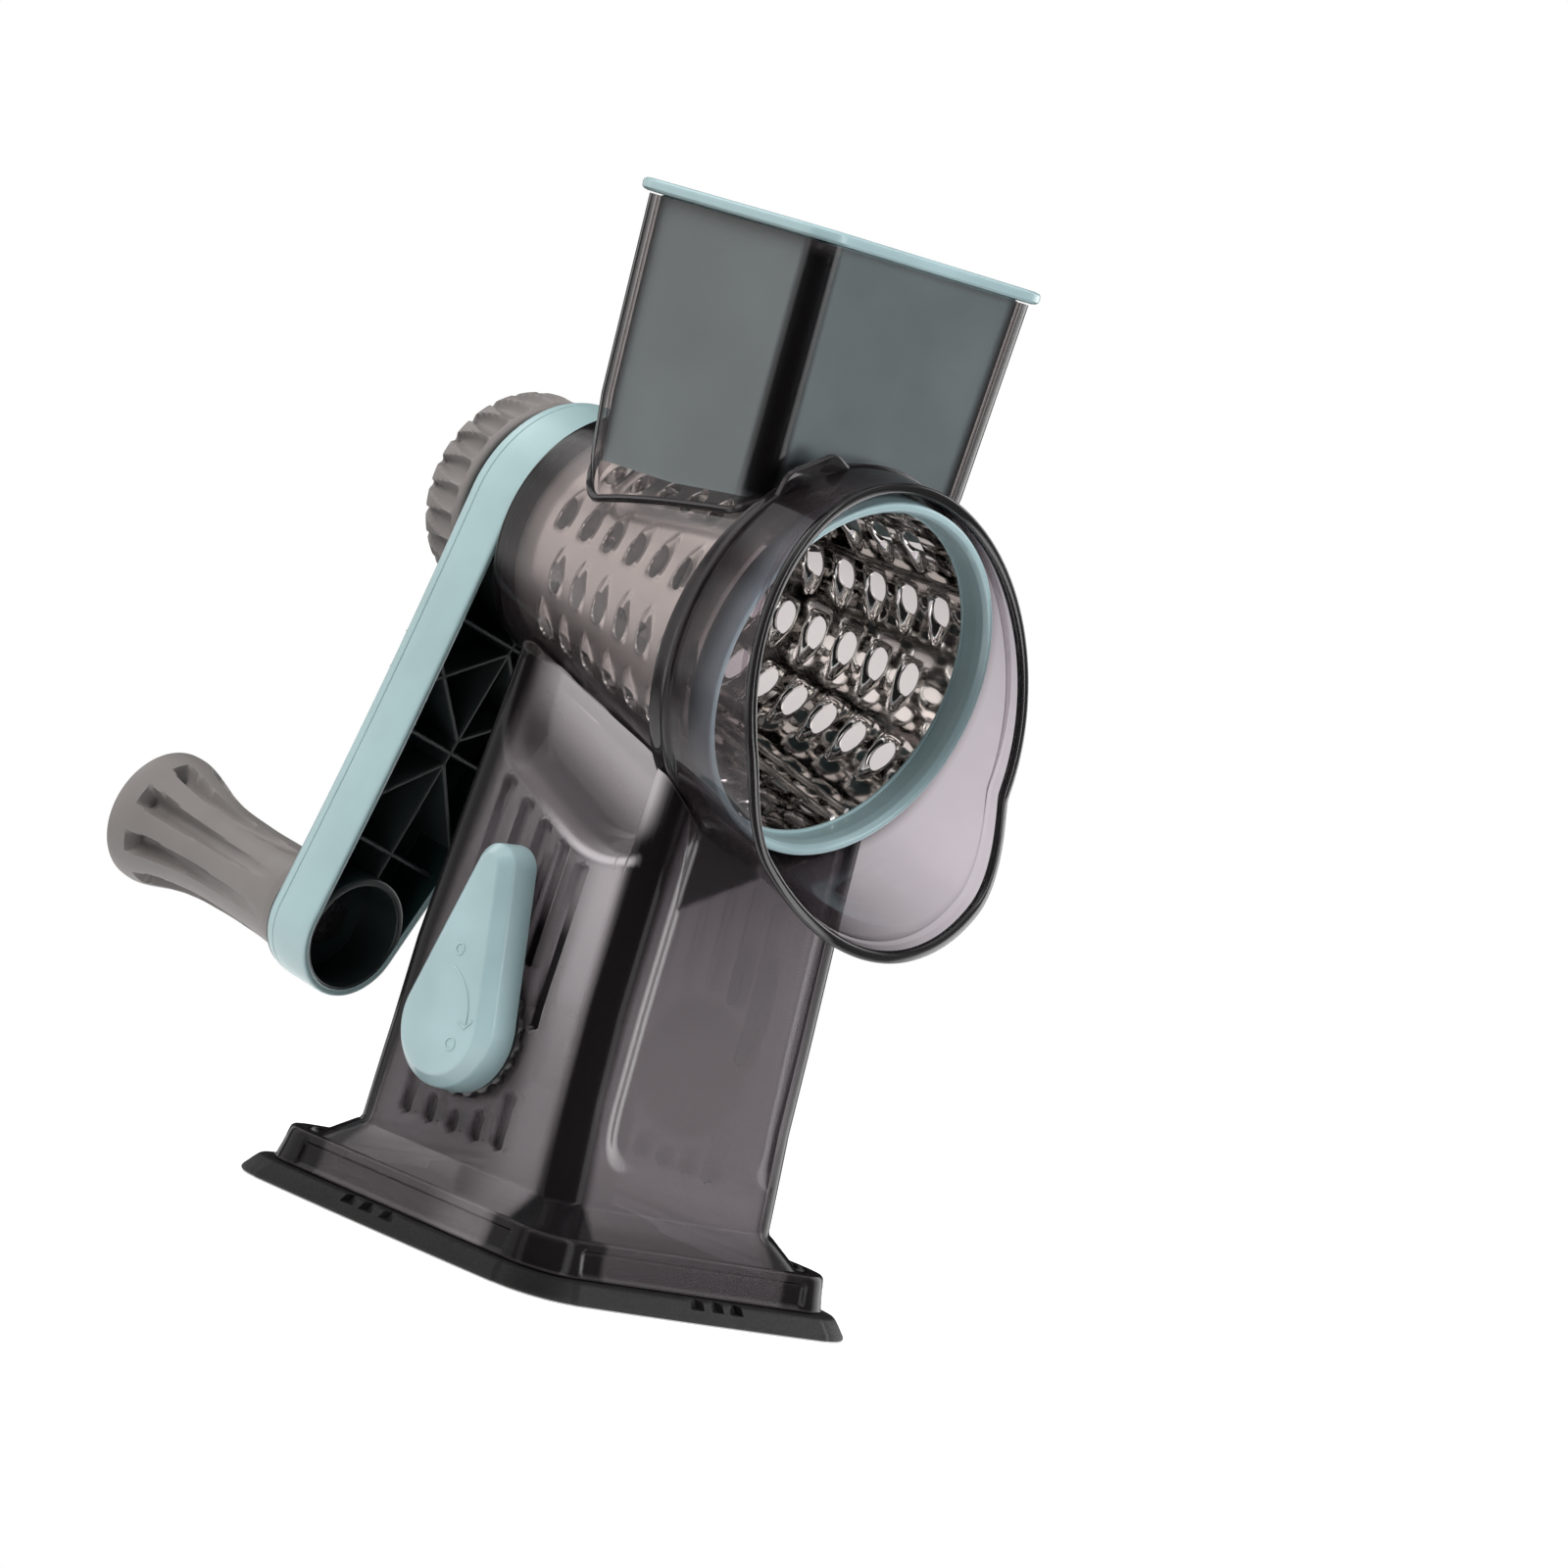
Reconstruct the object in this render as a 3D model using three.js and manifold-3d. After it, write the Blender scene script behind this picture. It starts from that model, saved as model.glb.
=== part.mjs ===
// Rotary cheese grater: a smoky plastic stand and drum housing, a steel drum turned by a crank,
// a food pusher in the hopper and a lever that pulls the suction foot down.
// Millimetres, +Z up. The origin is the middle of the foot's flat underside.
// The drum's mouth faces -Y, the crank is at +Y and the suction lever is on the -X side.

import * as THREE from 'three';
import { mergeVertices } from 'three/addons/utils/BufferGeometryUtils.js';
import Module from 'manifold-3d';

const wasm = await Module();
wasm.setup();

// Driving dimensions
const HEAD_HEIGHT = 183.6; // height of the drum's axis above the middle of the foot
const HEAD_PITCH = THREE.MathUtils.degToRad(7.42); // the drum's axis dips towards the mouth
const GAP = 0.35; // space left between pieces that touch
const WALL = 2.2; // moulded wall of the housing, pusher and crank arm
const STAND_WALL = 2.8;
const PANEL_DEPTH = 1.6; // how far the stand's front face is set back inside its border
const ROUND = 36; // sides of a large round piece
const SMALL_ROUND = 16; // sides of a pin, hole or screw

// Along the drum's axis the numbers grow towards the crank; the mouth is at the negative end.
const BARREL_BACK = 58.6;
const BARREL_FRONT = -40;
const BARREL_BACK_RADIUS = 37.2;
const BARREL_FRONT_RADIUS = 52.8;
const DRUM_BACK = 54.2;
const DRUM_FRONT = -42.2;
const DRUM_BACK_RADIUS = 32.6;
const DRUM_FRONT_RADIUS = 47.4;
const DRUM_SHEET = 0.9;
const DRUM_COLUMNS = 12;
const DRUM_ROWS = 7;
const DRUM_HOLE_PITCH = 11.25;
const DRUM_FIRST_COLUMN = 61.5 * Math.PI / 180;
const RIM_RADIUS = 50.8;
const RIM_FACE = -50.8;
const HUB_FLANGE_RADIUS = 25.9;
const JOURNAL_RADIUS = 19.3;
const SPLINE_RADIUS = 17;
const SPLINE_DEPTH = 1.5;
const SPLINE_TEETH = 12;
const SHIELD_BACK = -31;
const SHIELD_RADIUS = 55.4;

const ARM_FRONT = 60.6;
const ARM_BACK = 79.6;
const ARM_FLOOR = 77.2; // inside of the arm's back wall
const ARM_HEAD_RADIUS = 34;
const ARM_TIP_RADIUS = 18;
const ARM_TIP = new THREE.Vector2(-28.3, -126.5);
const GRIP_START = 81.4;
const GRIP_END = 150.6;
const NUT_DEPTH = 14; // how far the axle nut's pocket is sunk into the grip's end
const KNOB_FRONT = 82.2;
const KNOB_RADIUS = 31;
const KNOB_SCALLOPS = 24;

const LEVER_Y = 5.5;
const LEVER_HEIGHT = 57.5;
const LEVER_BACK = -46.9;
const LEVER_FACE = -58.9;
const LEVER_TILT = THREE.MathUtils.degToRad(1.5); // the lever's tip leans a little towards the mouth
const SHAFT_RADIUS = 4.6;
const CAM_RADIUS = 8;
const CAM_OFFSET = 2.12;
const PAD_TOP = 5.5;
const PLATE_TOP = 8.8;
const SCREW_PLACES = [[-44, -42], [44, -42], [44, 42], [-44, 42]];

// Outlines

function roundedRectangle(halfX, front, rear, radius, cornerSteps = 4) {
  const corners = [
    [halfX - radius, rear - radius, 0],
    [radius - halfX, rear - radius, 1],
    [radius - halfX, radius - front, 2],
    [halfX - radius, radius - front, 3],
  ];
  const points = [];
  for (const [x, y, quarter] of corners) {
    for (let step = 0; step <= cornerSteps; step++) {
      const angle = (quarter + step / cornerSteps) * Math.PI / 2;
      points.push(new THREE.Vector2(x + radius * Math.cos(angle), y + radius * Math.sin(angle)));
    }
  }
  return points;
}

function bowed(points, bow) {
  const reachX = Math.max(...points.map((point) => point.x));
  const reachY = Math.max(...points.map((point) => point.y));
  return points.map(({ x, y }) => {
    const swellX = bow * (1 - (y / reachY) ** 2);
    const swellY = bow * (1 - (x / reachX) ** 2);
    return new THREE.Vector2(x + swellX * (x / reachX) ** 5, y + swellY * (y / reachY) ** 5);
  });
}

// The outline round two circles, the larger one at the origin, with flanks that pull in by waist.
function twoCircleOutline(radius, tip, tipRadius, inset = 0, waist = 0, steps = 10) {
  const distance = tip.length();
  const heading = Math.atan2(tip.y, tip.x);
  const lean = Math.acos((radius - tipRadius) / distance);
  const points = [];
  for (let step = 0; step <= steps; step++) {
    const angle = heading - lean + 2 * lean * step / steps;
    const spoke = new THREE.Vector2(Math.cos(angle), Math.sin(angle));
    points.push(spoke.multiplyScalar(tipRadius - inset).add(tip));
  }
  for (let step = 0; step <= 2 * steps; step++) {
    const angle = heading + lean + 2 * (Math.PI - lean) * step / (2 * steps);
    points.push(new THREE.Vector2(Math.cos(angle), Math.sin(angle)).multiplyScalar(radius - inset));
  }
  return [...points, ...hollowFlank(points.at(-1), points[0], waist)]
    .toSpliced(steps + 1, 0, ...hollowFlank(points[steps], points[steps + 1], waist));
}

function hollowFlank(from, to, waist) {
  if (waist === 0) {
    return [];
  }
  const along = to.clone().sub(from);
  const inward = new THREE.Vector2(-along.y, along.x).setLength(waist);
  return [0.15, 0.35, 0.6, 0.85].map((share) => {
    return from.clone().addScaledVector(along, share).addScaledVector(inward, Math.sin(Math.PI * share));
  });
}

function toothed(teeth, radius, depth) {
  return Array.from({ length: 2 * teeth }, (_, index) => {
    const reach = radius - (index % 2) * depth;
    const angle = index * Math.PI / teeth;
    return new THREE.Vector2(reach * Math.cos(angle), reach * Math.sin(angle));
  });
}

function roundedPolygon(corners, radius, steps = 3) {
  const points = [];
  corners.forEach((corner, index) => {
    const before = corners[(index + corners.length - 1) % corners.length];
    const after = corners[(index + 1) % corners.length];
    const start = corner.clone().add(before.clone().sub(corner).setLength(radius));
    const end = corner.clone().add(after.clone().sub(corner).setLength(radius));
    const bend = new THREE.QuadraticBezierCurve(start, corner, end);
    points.push(...bend.getPoints(steps));
  });
  return points;
}

// Solids

function solid(geometry, matrix = new THREE.Matrix4()) {
  const bare = geometry.clone().applyMatrix4(matrix);
  bare.deleteAttribute('normal');
  bare.deleteAttribute('uv');
  const merged = mergeVertices(bare, 1e-4);
  const corners = merged.index.array;
  const triangles = [];
  for (let start = 0; start < corners.length; start += 3) {
    const [a, b, c] = corners.slice(start, start + 3);
    if (a !== b && b !== c && c !== a) {
      triangles.push(a, b, c);
    }
  }
  if (signedVolume(merged.attributes.position, triangles) < 0) {
    triangles.reverse();
  }
  const vertProperties = new Float32Array(merged.attributes.position.array);
  const triVerts = new Uint32Array(triangles);
  return new wasm.Manifold(new wasm.Mesh({ numProp: 3, vertProperties, triVerts }));
}

function signedVolume(position, triangles) {
  const [a, b, c] = [new THREE.Vector3(), new THREE.Vector3(), new THREE.Vector3()];
  let volume = 0;
  for (let start = 0; start < triangles.length; start += 3) {
    a.fromBufferAttribute(position, triangles[start]);
    b.fromBufferAttribute(position, triangles[start + 1]);
    c.fromBufferAttribute(position, triangles[start + 2]);
    volume += a.dot(b.cross(c));
  }
  return volume;
}

// Joins rings of points, all of the same count, and closes both ends.
function loft(rings, matrix) {
  const count = rings[0].length;
  const middles = [rings[0], rings.at(-1)].map((ring) => {
    return ring.reduce((sum, point) => sum.add(point), new THREE.Vector3()).divideScalar(count);
  });
  const points = [...rings.flat(), ...middles];
  const index = [];
  for (let ring = 0; ring < rings.length - 1; ring++) {
    for (let side = 0; side < count; side++) {
      const a = ring * count + side;
      const b = ring * count + (side + 1) % count;
      index.push(a, b, b + count, a, b + count, a + count);
    }
  }
  const last = (rings.length - 1) * count;
  for (let side = 0; side < count; side++) {
    const next = (side + 1) % count;
    index.push(points.length - 2, next, side);
    index.push(points.length - 1, last + side, last + next);
  }
  const geometry = new THREE.BufferGeometry().setFromPoints(points).setIndex(index);
  return solid(geometry, matrix);
}

// Stacks outlines along Z, X or Y: each level is [distance, outline].
function stackedZ(levels, matrix) {
  return loft(levels.map(([z, outline]) => outline.map((p) => new THREE.Vector3(p.x, p.y, z))), matrix);
}

function stackedX(levels) {
  return loft(levels.map(([x, outline]) => outline.map((p) => new THREE.Vector3(x, p.x, p.y))));
}

function stackedY(levels, matrix) {
  return loft(levels.map(([y, outline]) => outline.map((p) => new THREE.Vector3(p.x, y, p.y))), matrix);
}

// Turns a profile of [radius, distance] pairs about the Y axis.
function turned(profile, segments = ROUND, matrix = undefined) {
  const points = profile.map(([radius, along]) => new THREE.Vector2(radius, along));
  if (points[0].x > 0) {
    points.push(points[0].clone());
  }
  return solid(new THREE.LatheGeometry(points, segments), matrix);
}

function discY(radius, from, to, segments = SMALL_ROUND, x = 0, z = 0) {
  const place = new THREE.Matrix4().makeTranslation(x, 0, z);
  return turned([[0, from], [radius, from], [radius, to], [0, to]], segments, place);
}

function discZ(radius, from, to, segments = SMALL_ROUND, x = 0, y = 0) {
  const place = new THREE.Matrix4().makeRotationX(Math.PI / 2).setPosition(x, y, 0);
  return turned([[0, from], [radius, from], [radius, to], [0, to]], segments, place);
}

function discX(radius, from, to, segments = SMALL_ROUND, y = 0, z = 0) {
  const place = new THREE.Matrix4().makeRotationZ(-Math.PI / 2).setPosition(0, y, z);
  return turned([[0, from], [radius, from], [radius, to], [0, to]], segments, place);
}

function block(low, high, matrix) {
  const size = high.map((value, axis) => value - low[axis]);
  const centre = high.map((value, axis) => (value + low[axis]) / 2);
  return solid(new THREE.BoxGeometry(...size).translate(...centre), matrix);
}

function union(solids) {
  return solids.reduce((whole, part) => whole.add(part));
}

function piece(name, material, shape) {
  const { vertProperties, triVerts } = shape.getMesh();
  const geometry = new THREE.BufferGeometry();
  geometry.setAttribute('position', new THREE.BufferAttribute(vertProperties, 3));
  geometry.setIndex(new THREE.BufferAttribute(triVerts, 1));
  geometry.computeVertexNormals();
  const mesh = new THREE.Mesh(geometry, material);
  mesh.name = name;
  return mesh;
}

// Materials

function plastic(color, roughness, extra = {}) {
  return new THREE.MeshStandardMaterial({ color, roughness, metalness: 0, ...extra });
}

function metal(color, roughness) {
  return new THREE.MeshStandardMaterial({ color, roughness, metalness: 1 });
}

const smokyPlastic = plastic(0x4b474b, 0.12, { transparent: true, opacity: 0.7 });
const tealPlastic = plastic(0x9fbcbc, 0.4);
const greyPlastic = plastic(0x78716d, 0.6);
const blackRubber = plastic(0x1c1b1b, 0.75);
const innerPlastic = plastic(0x34343a, 0.5);
const chromeSteel = metal(0xd6d3cf, 0.12);
const hardwareSteel = metal(0x8f9094, 0.3);

// The drum housing and everything on its axis are modelled along Y and tilted together.
const head = new THREE.Group();
head.position.set(0, 0, HEAD_HEIGHT);
head.rotation.x = HEAD_PITCH;
const headMatrix = new THREE.Matrix4().makeRotationX(HEAD_PITCH).setPosition(0, 0, HEAD_HEIGHT);
const unpitched = headMatrix.clone().invert();

function barrelRadius(along) {
  const share = (BARREL_BACK - along) / (BARREL_BACK - BARREL_FRONT);
  return BARREL_BACK_RADIUS + share * (BARREL_FRONT_RADIUS - BARREL_BACK_RADIUS);
}

function drumRadius(along) {
  const share = (DRUM_BACK - along) / (DRUM_BACK - DRUM_FRONT);
  return DRUM_BACK_RADIUS + share * (DRUM_FRONT_RADIUS - DRUM_BACK_RADIUS);
}

function coneAboutAxis(radiusAt, from, to, extra, matrix) {
  return turned([
    [0, from], [radiusAt(from) + extra, from], [radiusAt(to) + extra, to], [0, to],
  ], ROUND, matrix);
}

// Stand: hollow column on a hipped skirt, open below, with a saddle under the housing

const STAND_LEVELS = [
  { z: 22.6, halfX: 44.9, front: 43.2, rear: 43.2, radius: 9.5 },
  { z: 50, halfX: 44.5, front: 39.9, rear: 42.4, radius: 9 },
  { z: 75, halfX: 44.2, front: 38.4, rear: 42.2, radius: 8.6 },
  { z: 112, halfX: 42.2, front: 37.1, rear: 41, radius: 8 },
  { z: 170, halfX: 39.4, front: 36.4, rear: 38.6, radius: 8 },
];

function columnLevels(inset, frontInset) {
  return STAND_LEVELS.map(({ z, halfX, front, rear, radius }) => [
    z,
    roundedRectangle(halfX - inset, front - frontInset, rear - inset, Math.max(radius - inset, 2)),
  ]);
}

function standOuter() {
  return stackedZ([
    [PAD_TOP + 0.4, roundedRectangle(59.9, 57.9, 57.9, 12)],
    [14.9, roundedRectangle(58.3, 56.3, 56.3, 11.5)],
    [15.7, roundedRectangle(57.5, 55.5, 55.5, 11)],
    [15.7, roundedRectangle(54.5, 52.5, 52.5, 10.5)],
    [14.4, roundedRectangle(53.8, 51.8, 51.8, 10.4)],
    ...columnLevels(0, 0),
  ]);
}

function standCavity() {
  const panelInset = STAND_WALL + PANEL_DEPTH;
  return stackedZ([
    [PAD_TOP, roundedRectangle(57.5, 55.5, 55.5, 10)],
    [12.4, roundedRectangle(56.2, 54.2, 54.2, 9)],
    [12.9, roundedRectangle(50.5, 48.5, 48.5, 8)],
    ...columnLevels(STAND_WALL, panelInset),
  ]);
}

function housingEnvelope(extra) {
  return turned([
    [0, 70],
    [BARREL_BACK_RADIUS + extra, 70],
    [BARREL_BACK_RADIUS + extra, BARREL_BACK],
    [barrelRadius(SHIELD_BACK + 0.5) + extra, SHIELD_BACK + 0.5],
    [SHIELD_RADIUS + extra, SHIELD_BACK + 0.5],
    [SHIELD_RADIUS + 1.2 + extra, -45],
    [SHIELD_RADIUS + 3.2 + extra, -62],
    [0, -62],
  ], ROUND, headMatrix);
}

// Finger recess under the barrel, drawn as seen from the side: y to the rear, z up.
function scoop(side, grow) {
  const corners = [[32, 200], [28, 131], [-15, 112.5], [-35, 117], [-35.5, 200]];
  const outline = (inset) => roundedPolygon(
    corners.map(([y, z]) => new THREE.Vector2(y * (1 - inset / 35), z + inset)),
    9,
  );
  return stackedX([
    [side * 60, outline(-1 - grow)],
    [side * (38 - grow), outline(0.5 - grow)],
    [side * (34.2 - grow), outline(5 - grow)],
  ]);
}

function frontPanel() {
  const corners = [[-31, 33], [38, 33], [33, 160], [-25, 160]].map(([x, z]) => new THREE.Vector2(x, z));
  const window = stackedY([-60, -30].map((y) => [y, roundedPolygon(corners, 12)]));
  return window.subtract(stackedZ(columnLevels(0, PANEL_DEPTH)));
}

function screwPosts() {
  return SCREW_PLACES.map(([x, y]) => discZ(4.2, PLATE_TOP + GAP, 18, 10, x, y));
}

// Everything above the sloping plane that ends the stand, moved up by lift.
function aboveStand(lift) {
  const slope = new THREE.Matrix4().makeRotationX(Math.atan(0.3)).setPosition(0, 0, 149.2 + lift);
  return block([-80, -120, 0], [80, 120, 80], slope);
}

function buildStand() {
  const saddle = housingEnvelope(GAP);
  const saddleUnderside = housingEnvelope(GAP + STAND_WALL);
  let cavity = standCavity().subtract(saddleUnderside).subtract(aboveStand(-STAND_WALL));
  for (const side of [-1, 1]) {
    cavity = cavity.subtract(scoop(side, STAND_WALL));
  }
  cavity = cavity.subtract(union(screwPosts()));
  let stand = standOuter().subtract(aboveStand(0)).subtract(saddle).subtract(frontPanel());
  for (const side of [-1, 1]) {
    stand = stand.subtract(scoop(side, 0));
  }
  stand = stand.subtract(cavity);
  for (const [x, y] of SCREW_PLACES) {
    stand = stand.subtract(discZ(2.2, PLATE_TOP, 16.5, 10, x, y));
  }
  return stand.subtract(discX(SHAFT_RADIUS + GAP, -70, -30, SMALL_ROUND, LEVER_Y, LEVER_HEIGHT));
}

// Suction foot and the mechanism that lifts its middle

function buildSuctionPad() {
  const body = stackedZ([
    [0, bowed(roundedRectangle(66.5, 64.5, 64.5, 16), 1.5)],
    [1, bowed(roundedRectangle(66.5, 64.5, 64.5, 16), 1.5)],
    [PAD_TOP, bowed(roundedRectangle(63.4, 61.5, 61.5, 15), 1)],
  ]);
  return body.subtract(discZ(30, 3.2, PAD_TOP + 1, ROUND, 0, LEVER_Y));
}

function buildPlunger() {
  return union([
    discZ(29.4, 3.2 + GAP, 5.2, ROUND, 0, LEVER_Y),
    discZ(9, 5, 8.5, SMALL_ROUND, 0, LEVER_Y),
  ]).subtract(discZ(5.2, 6, 9, SMALL_ROUND, 0, LEVER_Y));
}

function buildBasePlate() {
  let plate = stackedZ([
    [PAD_TOP + GAP, roundedRectangle(56.2, 54.2, 54.2, 9)],
    [PLATE_TOP, roundedRectangle(56, 54, 54, 9)],
  ]);
  const turret = [
    [30.4, PAD_TOP + GAP], [33, PAD_TOP + GAP], [33, 14.8], [5.6, 14.8], [5.6, 12.6], [30.4, 12.6],
  ];
  const upright = new THREE.Matrix4().makeRotationX(Math.PI / 2).setPosition(0, LEVER_Y, 0);
  plate = plate.subtract(discZ(32, 0, 20, ROUND, 0, LEVER_Y)).add(turned(turret, ROUND, upright));
  for (const [x, y] of SCREW_PLACES) {
    plate = plate.subtract(discZ(2.2, 5, 10, 10, x, y)).subtract(discZ(4, 5, 7.4, 10, x, y));
  }
  return plate;
}

function buildBaseScrew([x, y]) {
  return discZ(3.6, PAD_TOP + GAP + 0.2, 7.1, 10, x, y).add(discZ(1.8, 7, 16, 10, x, y));
}

function buildStem() {
  const camHeight = LEVER_HEIGHT - CAM_OFFSET * Math.SQRT1_2;
  const window = CAM_RADIUS + GAP;
  const slotHalf = CAM_RADIUS + CAM_OFFSET + GAP;
  const rod = discZ(4.8, 6 + GAP, camHeight - window - 2, SMALL_ROUND, 0, LEVER_Y);
  const yoke = block(
    [-4, LEVER_Y - slotHalf - 3, camHeight - window - 4],
    [4, LEVER_Y + slotHalf + 3, camHeight + window + 3],
  );
  const slot = block(
    [-6, LEVER_Y - slotHalf, camHeight - window],
    [6, LEVER_Y + slotHalf, camHeight + window],
  );
  return rod.add(yoke).subtract(slot);
}

function buildShaftBracket() {
  const reach = 15;
  const cheeks = [-10, 8].map((x) => block(
    [x, LEVER_Y - reach, 17],
    [x + 2, LEVER_Y + reach, LEVER_HEIGHT + 9],
  ));
  const feet = [-1, 1].map((side) => block(
    [-10, LEVER_Y + side * reach - 1.5, 14.8 + GAP],
    [10, LEVER_Y + side * reach + 1.5, 19],
  ));
  const bore = discX(SHAFT_RADIUS + GAP, -20, 20, SMALL_ROUND, LEVER_Y, LEVER_HEIGHT);
  return union([...cheeks, ...feet]).subtract(bore);
}

function buildCamShaft() {
  const camY = LEVER_Y + CAM_OFFSET * Math.SQRT1_2;
  const camHeight = LEVER_HEIGHT - CAM_OFFSET * Math.SQRT1_2;
  return union([
    discX(SHAFT_RADIUS, LEVER_FACE + 4.5, 13.5, SMALL_ROUND, LEVER_Y, LEVER_HEIGHT),
    discX(CAM_RADIUS, -3.6, 3.6, 20, camY, camHeight),
  ]).subtract(turned(
    [[3.6, 11], [6, 11], [6, 12], [3.6, 12]],
    SMALL_ROUND,
    new THREE.Matrix4().makeRotationZ(-Math.PI / 2).setPosition(0, LEVER_Y, LEVER_HEIGHT),
  ));
}

function buildShaftClip() {
  const ring = discX(7, 11.1, 11.9, SMALL_ROUND, LEVER_Y, LEVER_HEIGHT);
  const bore = discX(3.9, 10, 13, SMALL_ROUND, LEVER_Y, LEVER_HEIGHT);
  const mouth = block([10, LEVER_Y - 2.6, LEVER_HEIGHT], [13, LEVER_Y + 2.6, LEVER_HEIGHT + 10]);
  return ring.subtract(bore).subtract(mouth);
}

function buildDetentRing() {
  const centre = new THREE.Vector2(LEVER_Y, LEVER_HEIGHT);
  const ring = stackedX([-44.9, -46.5].map((x) => {
    return [x, toothed(20, 18.6, 0.9).map((point) => point.add(centre))];
  }));
  return ring.subtract(discX(11, -50, -40, SMALL_ROUND, LEVER_Y, LEVER_HEIGHT));
}

function leverOutline(inset) {
  const tip = new THREE.Vector2(0, 44).rotateAround(new THREE.Vector2(), LEVER_TILT);
  return twoCircleOutline(17.4, tip, 7, inset).map((point) => {
    return point.add(new THREE.Vector2(LEVER_Y, LEVER_HEIGHT));
  });
}

function buildLever() {
  const shell = stackedX([
    [LEVER_BACK, leverOutline(-0.5)],
    [LEVER_FACE + 3, leverOutline(0)],
    [LEVER_FACE, leverOutline(3)],
  ]);
  const hollow = stackedX([
    [LEVER_BACK + 1, leverOutline(1.8)],
    [LEVER_FACE + 3.2, leverOutline(2.4)],
  ]);
  const boss = discX(8, LEVER_FACE + 2, LEVER_BACK, SMALL_ROUND, LEVER_Y, LEVER_HEIGHT);
  const bore = discX(SHAFT_RADIUS + GAP, LEVER_FACE + 4.1, -40, SMALL_ROUND, LEVER_Y, LEVER_HEIGHT);
  return shell.subtract(hollow.subtract(boss)).subtract(bore);
}

// Housing: the conical barrel with the square hopper moulded on top

const HOPPER_LEVELS = [
  { z: 196, halfX: 36.5, front: 33.4, rear: 33, radius: 12 },
  { z: 214, halfX: 40.4, front: 34.8, rear: 34.4, radius: 9 },
  { z: 232, halfX: 41.8, front: 35.5, rear: 35.2, radius: 7.5 },
  { z: 287.5, halfX: 44.5, front: 36.4, rear: 36.3, radius: 7.5 },
];

function hopperLevels(inset, above = 0) {
  const levels = HOPPER_LEVELS.map(({ z, halfX, front, rear, radius }) => {
    return [z, roundedRectangle(halfX - inset, front - inset, rear - inset, radius - inset)];
  });
  if (above > 0) {
    levels.push([levels.at(-1)[0] + above, levels.at(-1)[1]]);
  }
  return levels;
}

function buildHousing() {
  const barrel = coneAboutAxis(barrelRadius, BARREL_BACK, BARREL_FRONT, 0);
  const inside = coneAboutAxis(barrelRadius, BARREL_BACK - 2, BARREL_FRONT - 5, -WALL);
  const hopper = stackedZ(hopperLevels(0), unpitched);
  const throat = stackedZ(hopperLevels(WALL, 5), unpitched);
  const axleHole = discY(JOURNAL_RADIUS + GAP, 50, 65, ROUND);
  return barrel.add(hopper).subtract(inside).subtract(throat).subtract(axleHole);
}

function buildPusher() {
  const inset = WALL + 1;
  const flange = stackedZ([
    [288, roundedRectangle(46.2, 37.8, 37.8, 9)],
    [289, roundedRectangle(47, 38.5, 38.5, 9)],
    [291.5, roundedRectangle(47, 38.5, 38.5, 9)],
  ]);
  const cup = stackedZ(hopperLevels(inset, 3).slice(1));
  const inner = stackedZ(hopperLevels(inset + 2, 8).slice(1));
  const drumClear = (extra) => coneAboutAxis(drumRadius, 60, -60, extra, headMatrix);
  const hollow = inner.subtract(drumClear(9.8));
  return cup.add(flange).subtract(drumClear(7.6)).subtract(hollow);
}

// Mouth shield: a collar round the barrel's mouth that runs out into a lower lobe.
// An angle of zero is the bottom of the mouth, and half a turn is its top.

function shieldReach(angle) {
  const height = -SHIELD_RADIUS * Math.cos(angle);
  const lean = height > -18 ? 66.8 - 0.325 * height : 72.65 - 0.59 * (height + 18);
  return -lean;
}

function shieldRadius(angle, share) {
  const degrees = THREE.MathUtils.radToDeg(Math.min(angle, 2 * Math.PI - angle));
  const lobe = 1 - THREE.MathUtils.smoothstep(degrees, 42, 74);
  return SHIELD_RADIUS + 8.6 * lobe * share ** 1.6;
}

function buildMouthShield() {
  const sides = 48;
  const thickness = 2;
  const shares = [0, 0.35, 0.7, 1];
  const points = [];
  for (let side = 0; side < sides; side++) {
    const angle = 2 * Math.PI * side / sides;
    const spot = (share, inward) => {
      const radius = shieldRadius(angle, share) - inward;
      const along = SHIELD_BACK + share * (shieldReach(angle) - SHIELD_BACK);
      return new THREE.Vector3(radius * Math.sin(angle), along, -radius * Math.cos(angle));
    };
    points.push(...shares.map((share) => spot(share, 0)));
    points.push(...shares.toReversed().map((share) => spot(share, thickness)));
  }
  const loop = 2 * shares.length;
  const index = [];
  for (let side = 0; side < sides; side++) {
    const next = (side + 1) % sides;
    for (let step = 0; step < loop; step++) {
      const a = side * loop + step;
      const b = side * loop + (step + 1) % loop;
      const c = next * loop + (step + 1) % loop;
      const d = next * loop + step;
      index.push(a, b, c, a, c, d);
    }
  }
  const shell = solid(new THREE.BufferGeometry().setFromPoints(points).setIndex(index));
  const tabTurn = new THREE.Matrix4().makeRotationY(THREE.MathUtils.degToRad(-26));
  const tab = stackedY([-35.4, -33.6].map((along) => [
    along,
    [[-13, 50], [13, 50], [8, 60], [-8, 60]].map((corner) => new THREE.Vector2(...corner)),
  ]), tabTurn);
  const bore = turned([[0, 0], [SHIELD_RADIUS - thickness, 0], [SHIELD_RADIUS - thickness, -60], [0, -60]]);
  return shell.add(tab.subtract(bore));
}

// Drum

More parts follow.
